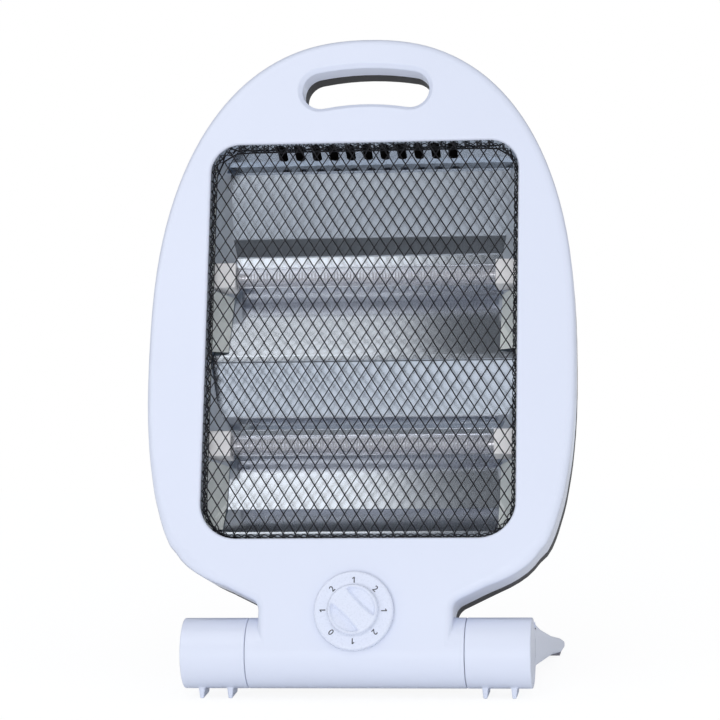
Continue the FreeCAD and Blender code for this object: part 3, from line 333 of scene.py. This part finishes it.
# %% Finishes of wires, sheets and quartz
finishes.update({
    "coil": finish("drawn_wire", (0.86, 0.86, 0.9), 0.3, metallic=0.9, drift=0.03),
    "quartz": finish("satin_quartz", (0.97, 0.97, 1.0), 0.14, drift=0.01, drift_scale=40, grain=1600,
                     grain_depth=0.000004, coat=0.3, coat_roughness=0.1),
    "guard_wire": finish("lacquered_wire", (0.035, 0.035, 0.04), 0.3, metallic=0.75, drift=0.2, grain=1500,
                         grain_depth=0.000005),
    "reflector": finish("rolled_sheet", (0.72, 0.77, 0.84), 0.14, metallic=1, drift=0.015, drift_scale=14,
                        grain=500, grain_depth=0.0000003, roughness_drift=0.01, stretch=(0.08, 1, 1)),
    "side_plate": finish("satin_sheet", (0.74, 0.79, 0.86), 0.4, metallic=0.55, drift=0.02, drift_scale=20,
                         grain=500, grain_depth=0.000001, roughness_drift=0.03),
})
quartz_shader = finishes["quartz"].node_tree.nodes["Principled BSDF"]
quartz_shader.inputs["Transmission Weight"].default_value = 0.88
quartz_shader.inputs["IOR"].default_value = 1.06
print("finishes", len(finishes))

# %% [markdown]
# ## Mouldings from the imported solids
#
# The solids already have the right shapes, but they come as loose triangles with knife-sharp edges. A copy is
# welded, its flat neighbours are merged, and every edge sharper than 38 degrees gets a small round, because no
# moulding tool leaves a sharp edge and that thin line of light is what makes plastic look moulded. Faces that
# meet more gently are shaded as one smooth skin.


# %% Helpers for every piece
def show(name, mesh, body, material):
    """Link a finished mesh as a piece that rides on a body and takes its finish from a slot."""
    mesh.name = name
    mesh.materials.clear()
    mesh.materials.append(material)
    piece = bpy.data.objects.new(name, mesh)
    bpy.context.scene.collection.objects.link(piece)
    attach(piece, body)
    return piece


def set_creases(shape, angle):
    """Smooth shading, broken where two faces meet at more than the angle."""
    for face in shape.faces:
        face.smooth = True
    for edge in shape.edges:
        if len(edge.link_faces) == 2:
            edge.smooth = edge.calc_face_angle(0) < angle


def finished_mesh(shape, name):
    """Turn a working shape into a mesh and free it."""
    mesh = bpy.data.meshes.new(name)
    shape.to_mesh(mesh)
    shape.free()
    return mesh


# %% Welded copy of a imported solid
WELD = 0.000002
FLAT = radians(0.6)


def welded_copy(node):
    """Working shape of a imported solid, welded, with its flat neighbours merged."""
    shape = bmesh.new()
    shape.from_mesh(frame["nodes"][node].data)
    bmesh.ops.remove_doubles(shape, verts=shape.verts, dist=WELD)
    bmesh.ops.dissolve_limit(shape, angle_limit=FLAT, verts=shape.verts, edges=shape.edges)
    return shape


def stand_in(node, mesh, material):
    """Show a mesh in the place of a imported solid."""
    piece = show(node + "_dressed", mesh, frame["nodes"][node]["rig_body"], material)
    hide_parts(node)
    return piece


def keep_flats(piece):
    """Let the large faces decide the shading beside a small round."""
    flats = piece.modifiers.new("smooth_flats", "WEIGHTED_NORMAL")
    flats.keep_sharp = True


# %% [markdown]
# ## Fuller foot of the shells
#
# The real shells keep their width longer towards the base and then turn in with a short curve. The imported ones
# narrow earlier. The side walls of both copies are pushed outwards there, by a table of levels and distances
# in millimetres. Nearer the middle nothing moves: there is a still part, which is narrow at the neck and wide
# at the body, and beside it the push sets in over a blend of ten millimetres.

# %% Fuller foot
STILL_LOW = 62.5
STILL_HIGH = 92.0
STILL_FROM = 22
STILL_TO = 56
BLEND = 10
FOOT_SWELL = [(0, 0), (14, 1.0), (20, 3.0), (27, 6.3), (36, 7.8), (48, 7.6), (62, 4.8), (78, 2.2), (100, 0.4),
              (120, 0)]


def swell_at(z):
    """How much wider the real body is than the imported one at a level, in millimetres."""
    for (low, first), (high, second) in zip(FOOT_SWELL, FOOT_SWELL[1:]):
        if low <= z < high:
            return first + (second - first) * (z - low) / (high - low)
    return 0


def fuller_foot(shape):
    """Push the outer wall of a shell outwards low down, where the real one keeps its width longer."""
    to_upright = HOUSING.inverted()
    for vert in shape.verts:
        place = to_upright @ vert.co
        reach = abs(place.x)
        rise = min(1, max(0, (place.z - STILL_FROM) / (STILL_TO - STILL_FROM)))
        still = STILL_LOW + (STILL_HIGH - STILL_LOW) * rise
        share = min(1, max(0, (reach - still) / BLEND))
        if share > 0:
            reach += share * swell_at(place.z)
            place.x = reach if place.x > 0 else -reach
            vert.co = HOUSING @ place


print("widest swell", max(width for _, width in FOOT_SWELL), "mm")

# %% Dressed copy of a solid
CREASE = radians(38)
slot_of = {part["node"]: part["material_slot"] for part in frame["record"]["subparts"]}


def dressed_copy(node, rounding, reshape=None):
    """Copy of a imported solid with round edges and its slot's finish."""
    shape = welded_copy(node)
    if reshape:
        reshape(shape)
    set_creases(shape, CREASE)
    slot = slot_of[node]
    piece = stand_in(node, finished_mesh(shape, node), finishes[slot])
    edge_round = piece.modifiers.new("edge_round", "BEVEL")
    edge_round.width = rounding
    edge_round.segments = 2
    edge_round.limit_method = "ANGLE"
    edge_round.angle_limit = CREASE
    edge_round.use_clamp_overlap = False
    edge_round.harden_normals = False
    keep_flats(piece)


print("slots", sorted(set(slot_of.values())))

# %% Shells, feet and small parts
dressed_copy("front_shell", 0.0004, reshape=fuller_foot)
dressed_copy("rear_cover", 0.0004, reshape=fuller_foot)
for node, rounding in (("foot_right", 0.0006), ("foot_left", 0.0006), ("foot_cap_right", 0.0005),
                       ("foot_cap_left", 0.0005), ("cord_gland", 0.0003)):
    dressed_copy(node, rounding)
OWN_SHAPES = ("guard", "front_shell", "rear_cover", "foot", "cord_gland", "control_knob", "reflector",
              "upper_heating_coil", "lower_heating_coil")
small_parts = [node for node in frame["nodes"] if not node.startswith(OWN_SHAPES)]
for node in small_parts:
    dressed_copy(node, 0.0002)
print("small parts", len(small_parts))

# %% [markdown]
# ## Folded reflector
#
# The reflector is one bright sheet, bent on a folding press. Every bend keeps a small radius, and the panels
# between the bends stay flat, so each panel mirrors its own part of the room. The fold lines of the packed
# sheet are found by their length and by the angle of their two faces, and rounded with a run of narrow faces.
# Three folds first slide by two to five millimetres to where the photograph shows them, because a fold is the
# line between a bright and a dark panel. The end plates are rounded the same way, in a duller sheet.

# %% Sheets with rounded folds
SHIFTED_FOLDS = [(252.3, -3.7, 0.28), (240.3, -2.1, 0), (89.0, -4.6, -0.9)]
FOLD_REACH = 0.7
FOLD_LENGTH = 0.1
GENTLEST_FOLD = radians(3)
SHARPEST_FOLD = radians(75)


def move_folds(shape):
    """Slide three folds of the reflector along their panels, to the places that the photo shows."""
    to_upright = HOUSING.inverted()
    for vert in shape.verts:
        place = to_upright @ vert.co
        for level, drop, deeper in SHIFTED_FOLDS:
            if abs(place.z - level) < FOLD_REACH:
                place.z += drop
                place.y += deeper
        vert.co = HOUSING @ place


def folded_sheet(node, bend, segments, surface="reflector"):
    """Copy of a packed sheet whose long folds get a bending radius."""
    shape = welded_copy(node)
    if node == "reflector":
        move_folds(shape)
    folds = []
    for edge in shape.edges:
        if len(edge.link_faces) == 2 and edge.calc_length() > FOLD_LENGTH:
            if GENTLEST_FOLD < edge.calc_face_angle(0) < SHARPEST_FOLD:
                folds.append(edge)
    bmesh.ops.bevel(shape, geom=folds, offset=bend, affect="EDGES", segments=segments, profile=0.5,
                    material=-1, clamp_overlap=True)
    bmesh.ops.recalc_face_normals(shape, faces=shape.faces)
    set_creases(shape, radians(25))
    piece = stand_in(node, finished_mesh(shape, node), finishes[surface])
    keep_flats(piece)
    print(node, "faces", len(piece.data.polygons))


folded_sheet("reflector", 0.0013, 6)
folded_sheet("reflector_side_right", 0.0012, 4, "side_plate")
folded_sheet("reflector_side_left", 0.0012, 4, "side_plate")

# %% [markdown]
# ## End tabs of the lower panels and the top hem
#
# The two panels under the tubes are longer than the rest of the sheet. Their ends are folded forward and close
# the trough towards the window, so on the real heater a pale strip stands under each ceramic. Each tab is a
# slanted strip from the panel to the window's edge, with the sheet's thickness, and a narrow bright edge runs
# up the window where the side plate's flange begins. Under the air holes hangs a short hem: its flat side is
# bright, and its turned-back edge draws the thin dark line below it.

# %% Places of the strips, each point a depth and a level
TAB_INNER = 79.5
TAB_OUTER = 88.9
TAB_FRONT = 13.0
TAB_PANELS = (((30.9, 212.5), (24.5, 195.0), (16.2, 175.8)), ((31.2, 111.0), (27.2, 89.5), (15.2, 70.6)))
FLANGE_OUTER = 89.8
FLANGE_DEPTH = 11.9
FLANGE_LEVELS = (68.0, 180.0, 292.0)
HEM_HALF = 86
HEM_PLACES = ((26.9, 292.2), (26.0, 288.3), (27.9, 287.6))
SHEET = 0.0003
print("tabs", round(TAB_OUTER - TAB_INNER, 1), "mm wide, hem", 2 * HEM_HALF, "mm long")


# %% Tabs, flange edges and hem
def strip_sheet(shape, inner, outer):
    """Add a strip between two lines of points, thickened to a sheet."""
    rows = [[shape.verts.new(on_housing(*point)) for point in line] for line in (inner, outer)]
    faces = [shape.faces.new((rows[0][n], rows[0][n + 1], rows[1][n + 1], rows[1][n]))
             for n in range(len(inner) - 1)]
    bmesh.ops.recalc_face_normals(shape, faces=faces)
    bmesh.ops.solidify(shape, geom=faces, thickness=SHEET)


def tab_mesh(side):
    """Both tabs and the flange edge of one side."""
    shape = bmesh.new()
    for panel in TAB_PANELS:
        inner = [(side * TAB_INNER, depth, z) for depth, z in panel]
        outer = [(side * TAB_OUTER, TAB_FRONT, z) for depth, z in panel]
        strip_sheet(shape, inner, outer)
    strip_sheet(shape, [(side * TAB_OUTER, FLANGE_DEPTH, z) for z in FLANGE_LEVELS],
                [(side * FLANGE_OUTER, FLANGE_DEPTH, z) for z in FLANGE_LEVELS])
    bmesh.ops.recalc_face_normals(shape, faces=shape.faces)
    return finished_mesh(shape, "tabs")


def hem_mesh():
    """Narrow hem that hangs from the top wall's fold, with its edge turned back to the panel."""
    shape = bmesh.new()
    left, right = [[(x, *place) for place in HEM_PLACES] for x in (-HEM_HALF, HEM_HALF)]
    strip_sheet(shape, left, right)
    return finished_mesh(shape, "hem")


show("top_hem", hem_mesh(), "housing", finishes["reflector"])
tab_sheet = finish("satin_tab", (0.86, 0.9, 0.89), 0.5, metallic=0.35, drift=0.02, grain=900,
                   grain_depth=0.000004)
for side, word in ((1, "right"), (-1, "left")):
    show("end_tabs_" + word, tab_mesh(side), "housing", tab_sheet)
print("tabs on both sides")

# %% [markdown]
# ## Wire guard
#
# The guard is a basket of thin round wires. One layer climbs to the left and lies in front, the other climbs
# to the right behind it, and at the window's edge every wire bends back over a small fold and runs to a rim
# frame. Each wire is one ring pulled along its own path. The ends are found by halving steps towards the
# window's rounded outline, and a small random bow keeps the mesh from looking printed. Where two wires cross,
# each gives way a little.

# %% Window outline of the guard
GUARD_HALF = 89.9
GUARD_BOTTOM = 63.4
GUARD_TOP = 297.3
GUARD_CORNER_TOP = 16.5
GUARD_CORNER_BOTTOM = 20.5
SLOPE = radians(58)
PITCH = 7.0
KNOT_STEP = PITCH / cos(SLOPE) / 4
MIDDLE_LEVEL = (GUARD_TOP + GUARD_BOTTOM) / 2


def outline_gap(x, z):
    """Distance from the guard's outline, negative inside it."""
    corner = GUARD_CORNER_TOP if z > MIDDLE_LEVEL else GUARD_CORNER_BOTTOM
    over_x = abs(x) - GUARD_HALF + corner
    over_z = abs(z - MIDDLE_LEVEL) - (GUARD_TOP - GUARD_BOTTOM) / 2 + corner
    outside = Vector((max(over_x, 0), max(over_z, 0))).length
    return outside + min(max(over_x, over_z), 0) - corner


def outward(x, z):
    """Direction in which the distance grows fastest."""
    step = 0.01
    slope_x = outline_gap(x + step, z) - outline_gap(x - step, z)
    slope_z = outline_gap(x, z + step) - outline_gap(x, z - step)
    return Vector((slope_x, slope_z)).normalized()


def reach_outline(start, heading, inset):
    """Walk from a point inside along the heading until the outline is only the inset away."""
    near, far = 0.0, 400.0
    for _ in range(40):
        half = (near + far) / 2
        place = start + heading * half
        if outline_gap(place.x, place.y) < -inset:
            near = half
        else:
            far = half
    return start + heading * near


print("guard", round(2 * GUARD_HALF, 1), "by", round(GUARD_TOP - GUARD_BOTTOM, 1), "mm")

# %% Fold at the window's edge
WALL_BACK = 12.4
FOLD_STEPS = 4
MOST_DRIFT = 1.2
SLIP = 0.8


def fold_radius(normal):
    """The basket is bent round a wider radius at the top and the foot than at the sides."""
    return 1.1 + 1.1 * max(normal.y, 0) + 2.6 * max(-normal.y, 0)


def wall_run(start, heading, layer_depth):
    """Points from the flat face over the fold and along the wall to the rim."""
    normal = outward(*start)
    radius = fold_radius(normal)
    place = reach_outline(start, heading, radius)
    normal = outward(*place)
    side = Vector((-normal.y, normal.x))
    drift = max(-MOST_DRIFT, min(MOST_DRIFT, heading.dot(side) / max(heading.dot(normal), 0.2)))
    points = []
    for step in range(FOLD_STEPS + 1):
        angle = radians(90) * step / FOLD_STEPS
        spot = place + normal * radius * sin(angle) + side * drift * radius * sin(angle) * SLIP
        points.append((spot.x, layer_depth + radius * (1 - cos(angle)), spot.y))
    slant = 0.4 * abs(normal.y) + 0.9 * abs(normal.x)
    lean = 0.25 * drift
    last = place + normal * (radius - slant) + side * (drift * radius * SLIP + lean)
    points.append((last.x, WALL_BACK, last.y))
    return points


# %% Path of one wire
FACE_STEP = 2.0
FACE_STEPS = 90
FACE_MARGIN = 2.5
MOST_BOW = 0.22
MOST_SWAY = 0.12
GIVE_ACROSS = 0.07
GIVE_DEEP = 0.06


def wire_path(offset, leaning, layer_depth, chance):
    """Whole path of a wire: rim, wall, fold, face, fold, wall, rim."""
    heading = Vector((cos(SLOPE) * leaning, sin(SLOPE)))
    across = Vector((heading.y, -heading.x))
    start = Vector((0, MIDDLE_LEVEL)) + across * offset
    steps = [n * FACE_STEP for n in range(-FACE_STEPS, FACE_STEPS + 1)
             if outline_gap(*(start + heading * n * FACE_STEP)) < -FACE_MARGIN]
    if len(steps) < 2:
        return None
    low = start + heading * steps[0]
    high = start + heading * steps[-1]
    top = wall_run(high, heading, layer_depth)
    bottom = wall_run(low, -heading, layer_depth)
    bow = chance.uniform(-MOST_BOW, MOST_BOW)
    sway = chance.uniform(-MOST_SWAY, MOST_SWAY)
    face = []
    first = Vector((bottom[0][0], bottom[0][2]))
    final = Vector((top[0][0], top[0][2]))
    span = (final - first).length
    count = max(2, int(span / KNOT_STEP))
    for step in range(1, count):
        share = step / count
        place = first.lerp(final, share) + across * (bow * sin(pi * share) + sway * sin(2 * pi * share))
        wave = cos(2 * pi * (place - start).dot(heading) / (2 * KNOT_STEP))
        place += across * GIVE_ACROSS * leaning * wave
        face.append((place.x, layer_depth + GIVE_DEEP * leaning * wave, place.y))
    return [on_housing(*point) for point in list(reversed(bottom)) + face + top]


# %% Pull a ring along a path
def pull_ring(shape, path, radius, sides):
    """Add a round bar along a path: a ring is extruded from point to point, and both ends are closed."""
    headings = []
    for index, point in enumerate(path):
        before = path[max(index - 1, 0)]
        after = path[min(index + 1, len(path) - 1)]
        headings.append((after - before).normalized())
    turn = Vector((0, 0, 1)).rotation_difference(headings[0])
    places = [Matrix.Translation(path[0]) @ turn.to_matrix().to_4x4()]
    for index in range(1, len(path)):
        turn = headings[index - 1].rotation_difference(headings[index]) @ turn
        places.append(Matrix.Translation(path[index]) @ turn.to_matrix().to_4x4())
    ring = bmesh.ops.create_circle(shape, cap_ends=False, radius=radius, segments=sides, matrix=places[0])
    edges = list({edge for vert in ring["verts"] for edge in vert.link_edges})
    first_edges = edges
    for index in range(1, len(path)):
        grown = bmesh.ops.extrude_edge_only(shape, edges=edges)["geom"]
        verts = [item for item in grown if isinstance(item, bmesh.types.BMVert)]
        edges = [item for item in grown if isinstance(item, bmesh.types.BMEdge)]
        bmesh.ops.transform(shape, matrix=places[index] @ places[index - 1].inverted(), verts=verts)
    bmesh.ops.contextual_create(shape, geom=first_edges)
    bmesh.ops.contextual_create(shape, geom=edges)


def bar_mesh(name, paths, radius, sides):
    """One mesh from many bars of the same thickness."""
    mesh = bpy.data.meshes.new(name)
    whole = bmesh.new()
    for path in paths:
        bar = bmesh.new()
        pull_ring(bar, path, radius, sides)
        bmesh.ops.recalc_face_normals(bar, faces=bar.faces)
        bar.to_mesh(mesh)
        bar.free()
        whole.from_mesh(mesh)
    set_creases(whole, radians(60))
    whole.to_mesh(mesh)
    whole.free()
    return mesh


# %% Guard wires
HIGHEST_WIRE = 26


def guard_layer(name, node, leaning, layer_depth, radius, seed):
    """All wires of one layer of the guard."""
    chance = random.Random(seed)
    spacing = PITCH * sin(SLOPE)
    paths = []
    for number in range(-HIGHEST_WIRE, HIGHEST_WIRE + 1):
        path = wire_path((number + 0.25 * leaning) * spacing, leaning, layer_depth, chance)
        if path:
            paths.append(path)
    mesh = bar_mesh(name, paths, radius * 0.001, 8)
    piece = show(name, mesh, "housing", finishes["guard_wire"])
    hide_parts(node)
    print(name, len(paths), "wires", len(mesh.polygons), "faces")


guard_layer("guard_front_dressed", "guard_front_wires", -1, 0.4, 0.37, 3)
guard_layer("guard_back_dressed", "guard_back_wires", 1, 1.15, 0.3, 5)

# %% [markdown]
# ## Heating coils
#
# Inside each quartz tube hangs a wound resistance wire. A small ring is spun round the tube's axis with a step
# along it, which draws the winding, and a pin with a thinner lead sticks out of each end to the terminal. The
# packed rod gives the winding its length and its width.

# %% Sizes of the winding, in millimetres
COIL_WIRE = 0.34
COIL_PITCH = 1.9
COIL_STEPS = 14
COIL_GAP = 0.02
PIN_LENGTH = 6
PIN_RADIUS = 2.2
PIN_INSET = 0.5
LEAD_RADIUS = 0.95
LEAD_INSET = 0.2
print("coil wire", 2 * COIL_WIRE, "mm thick, one turn every", COIL_PITCH, "mm")


# %% Wound coils
def spun_ring(shape, middle, radius, half):
    """Winding along X between two ends, by a spin with a step."""
    turns = int(2 * half / COIL_PITCH)
    top = middle + Vector((-turns * COIL_PITCH / 2, 0, radius - COIL_WIRE))
    upright = Matrix.Translation(top) @ Matrix.Rotation(radians(90), 4, "X")
    ring = bmesh.ops.create_circle(shape, cap_ends=False, radius=COIL_WIRE, segments=6, matrix=upright)
    edges = list({edge for vert in ring["verts"] for edge in vert.link_edges})
    bmesh.ops.spin(shape, geom=ring["verts"] + edges, cent=middle, axis=(1, 0, 0),
                   dvec=(COIL_PITCH / COIL_STEPS, 0, 0), angle=2 * pi * turns, steps=turns * COIL_STEPS,
                   use_merge=False)
    return turns


def winding(node):
    """Wound wire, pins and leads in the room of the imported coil."""
    upright = HOUSING.inverted()
    places = [upright @ vert.co for vert in frame["nodes"][node].data.vertices]
    low = Vector([min(place[axis] for place in places) for axis in range(3)])
    high = Vector([max(place[axis] for place in places) for axis in range(3)])
    middle = (low + high) / 2
    radius = (high.z - low.z) / 2
    half = max(place.x for place in places if abs(place.z - middle.z) > radius * 0.8)
    shape = bmesh.new()
    turns = spun_ring(shape, middle, radius - COIL_GAP, half)
    bmesh.ops.transform(shape, matrix=HOUSING, verts=shape.verts)
    for side in (1, -1):
        for start, end, thick in ((half - PIN_LENGTH, half - PIN_INSET, PIN_RADIUS),
                                  (half - PIN_INSET, high.x - LEAD_INSET, LEAD_RADIUS)):
            line = [HOUSING @ (middle + Vector((side * along, 0, 0))) for along in (start, end)]
            pull_ring(shape, line, thick * 0.001, 12)
    bmesh.ops.recalc_face_normals(shape, faces=shape.faces)
    set_creases(shape, radians(50))
    piece = stand_in(node, finished_mesh(shape, node), finishes["coil"])
    print(node, turns, "turns", len(piece.data.polygons), "faces")


for node in ("upper_heating_coil", "lower_heating_coil"):
    winding(node)

# %% [markdown]
# ## Selvedge and rim
#
# Behind the fold the mesh's cut ends are twisted together round the whole window. Three wavy wires stand for
# that selvedge: each follows evenly spaced points on the window's outline and swings in and out, and back and
# forth, as it goes. The thin rim frame on which the guard ends is one more bar round the outline.


# %% Points round the window
def outline_points(inset, count):
    """Points on the guard's outline in even turns round its middle, the last one on the first."""
    middle = Vector((0, MIDDLE_LEVEL))
    turns = [2 * pi * number / count for number in range(count + 1)]
    return [reach_outline(middle, Vector((sin(turn), cos(turn))), inset) for turn in turns]


dense = outline_points(0, 720)
run = [0.0]
for here, ahead in zip(dense, dense[1:]):
    run.append(run[-1] + (ahead - here).length)
print("outline", round(run[-1], 1), "mm round")


# %% Selvedge path
WAVE_STEPS = 8


def outline_walk(count):
    """Evenly spaced points on the guard's outline, once round, each with its outward direction."""
    walk = []
    index = 0
    for number in range(count + 1):
        goal = run[-1] * number / count
        while index < len(dense) - 2 and run[index + 1] < goal:
            index += 1
        share = (goal - run[index]) / (run[index + 1] - run[index])
        place = dense[index].lerp(dense[index + 1], share)
        walk.append((place, outward(place.x, place.y)))
    return walk


def selvedge_path(depth, inset, swing, phase, waves):
    """Wavy wire round the outline, where the mesh's cut ends are twisted together."""
    points = []
    for number, (place, normal) in enumerate(outline_walk(waves * WAVE_STEPS)):
        wave = 2 * pi * number / WAVE_STEPS + phase
        spot = place - normal * (inset + swing * cos(wave))
        points.append(on_housing(spot.x, depth + 2 * swing * sin(wave), spot.y))
    return points


# %% Selvedge pieces
SELVEDGE_RADIUS = 0.00032
twisted = [selvedge_path(3.2, 1.2, 0.8, 0, 104), selvedge_path(4.6, 1.2, 0.8, pi, 104),
           selvedge_path(8.4, 1.1, 0.7, pi / 2, 110)]
selvedge_mesh = bar_mesh("guard_selvedge", twisted, SELVEDGE_RADIUS, 6)
show("guard_selvedge", selvedge_mesh, "housing", finishes["guard_wire"])
print("selvedge faces", len(selvedge_mesh.polygons))

# %% Rim piece
RIM_DEPTH = 12.6
RIM_INSET = 0.9
RIM_RADIUS = 0.0005
rim_line = [on_housing(place.x, RIM_DEPTH, place.y) for place in outline_points(RIM_INSET, 96)]
rim_mesh = bar_mesh("guard_rim_dressed", [rim_line], RIM_RADIUS, 8)
guard_rim = show("guard_rim_dressed", rim_mesh, "housing", finishes["guard_wire"])
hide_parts("guard_rim")
print("rim faces", len(rim_mesh.polygons))

# %% [markdown]
# ## Knob and its numbers
#
# The knob is a low disc with a flat numbered ring. Its middle stands up, and two thumb scoops leave a grip bar
# across it. A profile is spun to a disc with many rings, then the points inside the scoops sink by a smooth
# rule: deep along the bar, rising to the arc. The numbers are printed, so each is a sign turned into a thin
# mesh just proud of the ring. The 1 has its own outline, with the long flag of the real dial's. The signs'
# tops point outwards, as they do there.

# %% Sizes of the knob, in millimetres
KNOB_LEVEL = 20.4
KNOB_TURN = radians(-45)
KNOB_FACE = HOUSING @ Matrix.Translation((0, FACE - 0.8, KNOB_LEVEL)) @ Matrix.Rotation(radians(90), 4, "X")
KNOB_BASE = 3.6
GRIP_TOP = 8.2
BAR_HALF = 4.5
BAR_FLARE = 0.007
SCOOP_DEPTH = 3.0
SCOOP_EDGE = 13.3
SCOOP_WALL = 1.9
SCOOP_BORDER = 1.5
SCOOP_RISE = 0.62
SCOOP_WIDTH = 8.5
TOP_STEP = 0.35
TOP_RINGS = 38
print("knob stands", GRIP_TOP, "mm proud, ring", KNOB_BASE, "mm")


# %% Scooped knob
def smooth_share(value):
    """Zero below 0, one above 1, an even S between."""
    value = max(0.0, min(1.0, value))
    return value * value * (3 - 2 * value)


def scoop_depth(x, y):
    """How far the grip's top sinks at a place, in millimetres."""
    along = x * cos(KNOB_TURN) + y * sin(KNOB_TURN)
    across = abs(y * cos(KNOB_TURN) - x * sin(KNOB_TURN))
    reach = sqrt(along * along + across * across)
    bar_edge = BAR_HALF + BAR_FLARE * along * along
    wall = smooth_share((across - bar_edge) / SCOOP_WALL)
    border = smooth_share((SCOOP_EDGE - reach) / SCOOP_BORDER)
    slope = 1 - SCOOP_RISE * smooth_share((across - bar_edge) / SCOOP_WIDTH)
    return SCOOP_DEPTH * wall * border * slope


def knob_mesh():
    """Spun disc with rounded steps, scooped on both sides of the grip bar."""
    profile = [(TOP_STEP * n, GRIP_TOP) for n in range(TOP_RINGS)]
    profile += [(13.5, GRIP_TOP - 0.12), (13.9, GRIP_TOP - 0.45), (14.2, GRIP_TOP - 1.1),
                (14.4, GRIP_TOP - 2.2), (14.6, KNOB_BASE + 1.0), (14.9, KNOB_BASE + 0.3),
                (15.4, KNOB_BASE), (18, KNOB_BASE), (20.9, KNOB_BASE), (21.6, KNOB_BASE - 0.08),
                (22.2, KNOB_BASE - 0.4), (22.5, KNOB_BASE - 0.95), (22.6, KNOB_BASE - 1.6),
                (22.6, 0.0), (19, 0.0), (4, 0.0), (0, 0.0)]
    shape = bmesh.new()
    verts = [shape.verts.new((radius, 0, rise)) for radius, rise in profile]
    edges = [shape.edges.new(pair) for pair in zip(verts, verts[1:])]
    bmesh.ops.spin(shape, geom=verts + edges, cent=(0, 0, 0), axis=(0, 0, 1), angle=2 * pi, steps=128,
                   use_merge=True)
    bmesh.ops.remove_doubles(shape, verts=shape.verts, dist=0.001)
    for vert in shape.verts:
        if vert.co.z > KNOB_BASE + 3:
            vert.co.z -= scoop_depth(vert.co.x, vert.co.y)
    bmesh.ops.recalc_face_normals(shape, faces=shape.faces)
    set_creases(shape, radians(60))
    bmesh.ops.transform(shape, matrix=KNOB_FACE, verts=shape.verts)
    return finished_mesh(shape, "knob_dressed")


knob = show("knob_dressed", knob_mesh(), "knob", finishes["knob"])
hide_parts("control_knob")
print("knob faces", len(knob.data.polygons))

# %% Numbers on the ring
ink = finish("dial_ink", (0.05, 0.05, 0.06), 0.5, drift=0.2, grain=2500)
DIAL = "12121012"
SIGN_RADIUS = 15.8
SIGN_SIZE = 4.9
INK_HALF = 0.03
ONE = ((-0.1, 0), (0.5, 0), (0.5, 3.3), (0.0, 3.3), (-0.95, 2.65), (-0.95, 2.05), (-0.1, 2.55))


def dial_numbers():
    """All eight numbers as one thin mesh."""
    whole = bmesh.new()
    for number, sign in enumerate(DIAL):
        turn = -2 * pi * number / len(DIAL)
        lift = Matrix.Translation((0, SIGN_RADIUS, KNOB_BASE + INK_HALF))
        spot = KNOB_FACE @ Matrix.Rotation(turn, 4, "Z") @ lift
        if sign == "1":
            corners = [whole.verts.new(spot @ Vector((x, y, INK_HALF))) for x, y in ONE]
            whole.faces.new(corners)
            continue
        words = bpy.data.curves.new("number", "FONT")
        words.body = sign
        words.align_x = "CENTER"
        words.size = SIGN_SIZE
        words.offset = 0.05
        words.extrude = INK_HALF
        words.resolution_u = 6
        holder = bpy.data.objects.new("number", words)
        mesh = bpy.data.meshes.new_from_object(holder)
        bpy.data.objects.remove(holder)
        mesh.transform(spot)
        whole.from_mesh(mesh)
    return finished_mesh(whole, "dial_numbers")


numbers = show("dial_numbers", dial_numbers(), "knob", ink)
print("number faces", len(numbers.data.polygons))
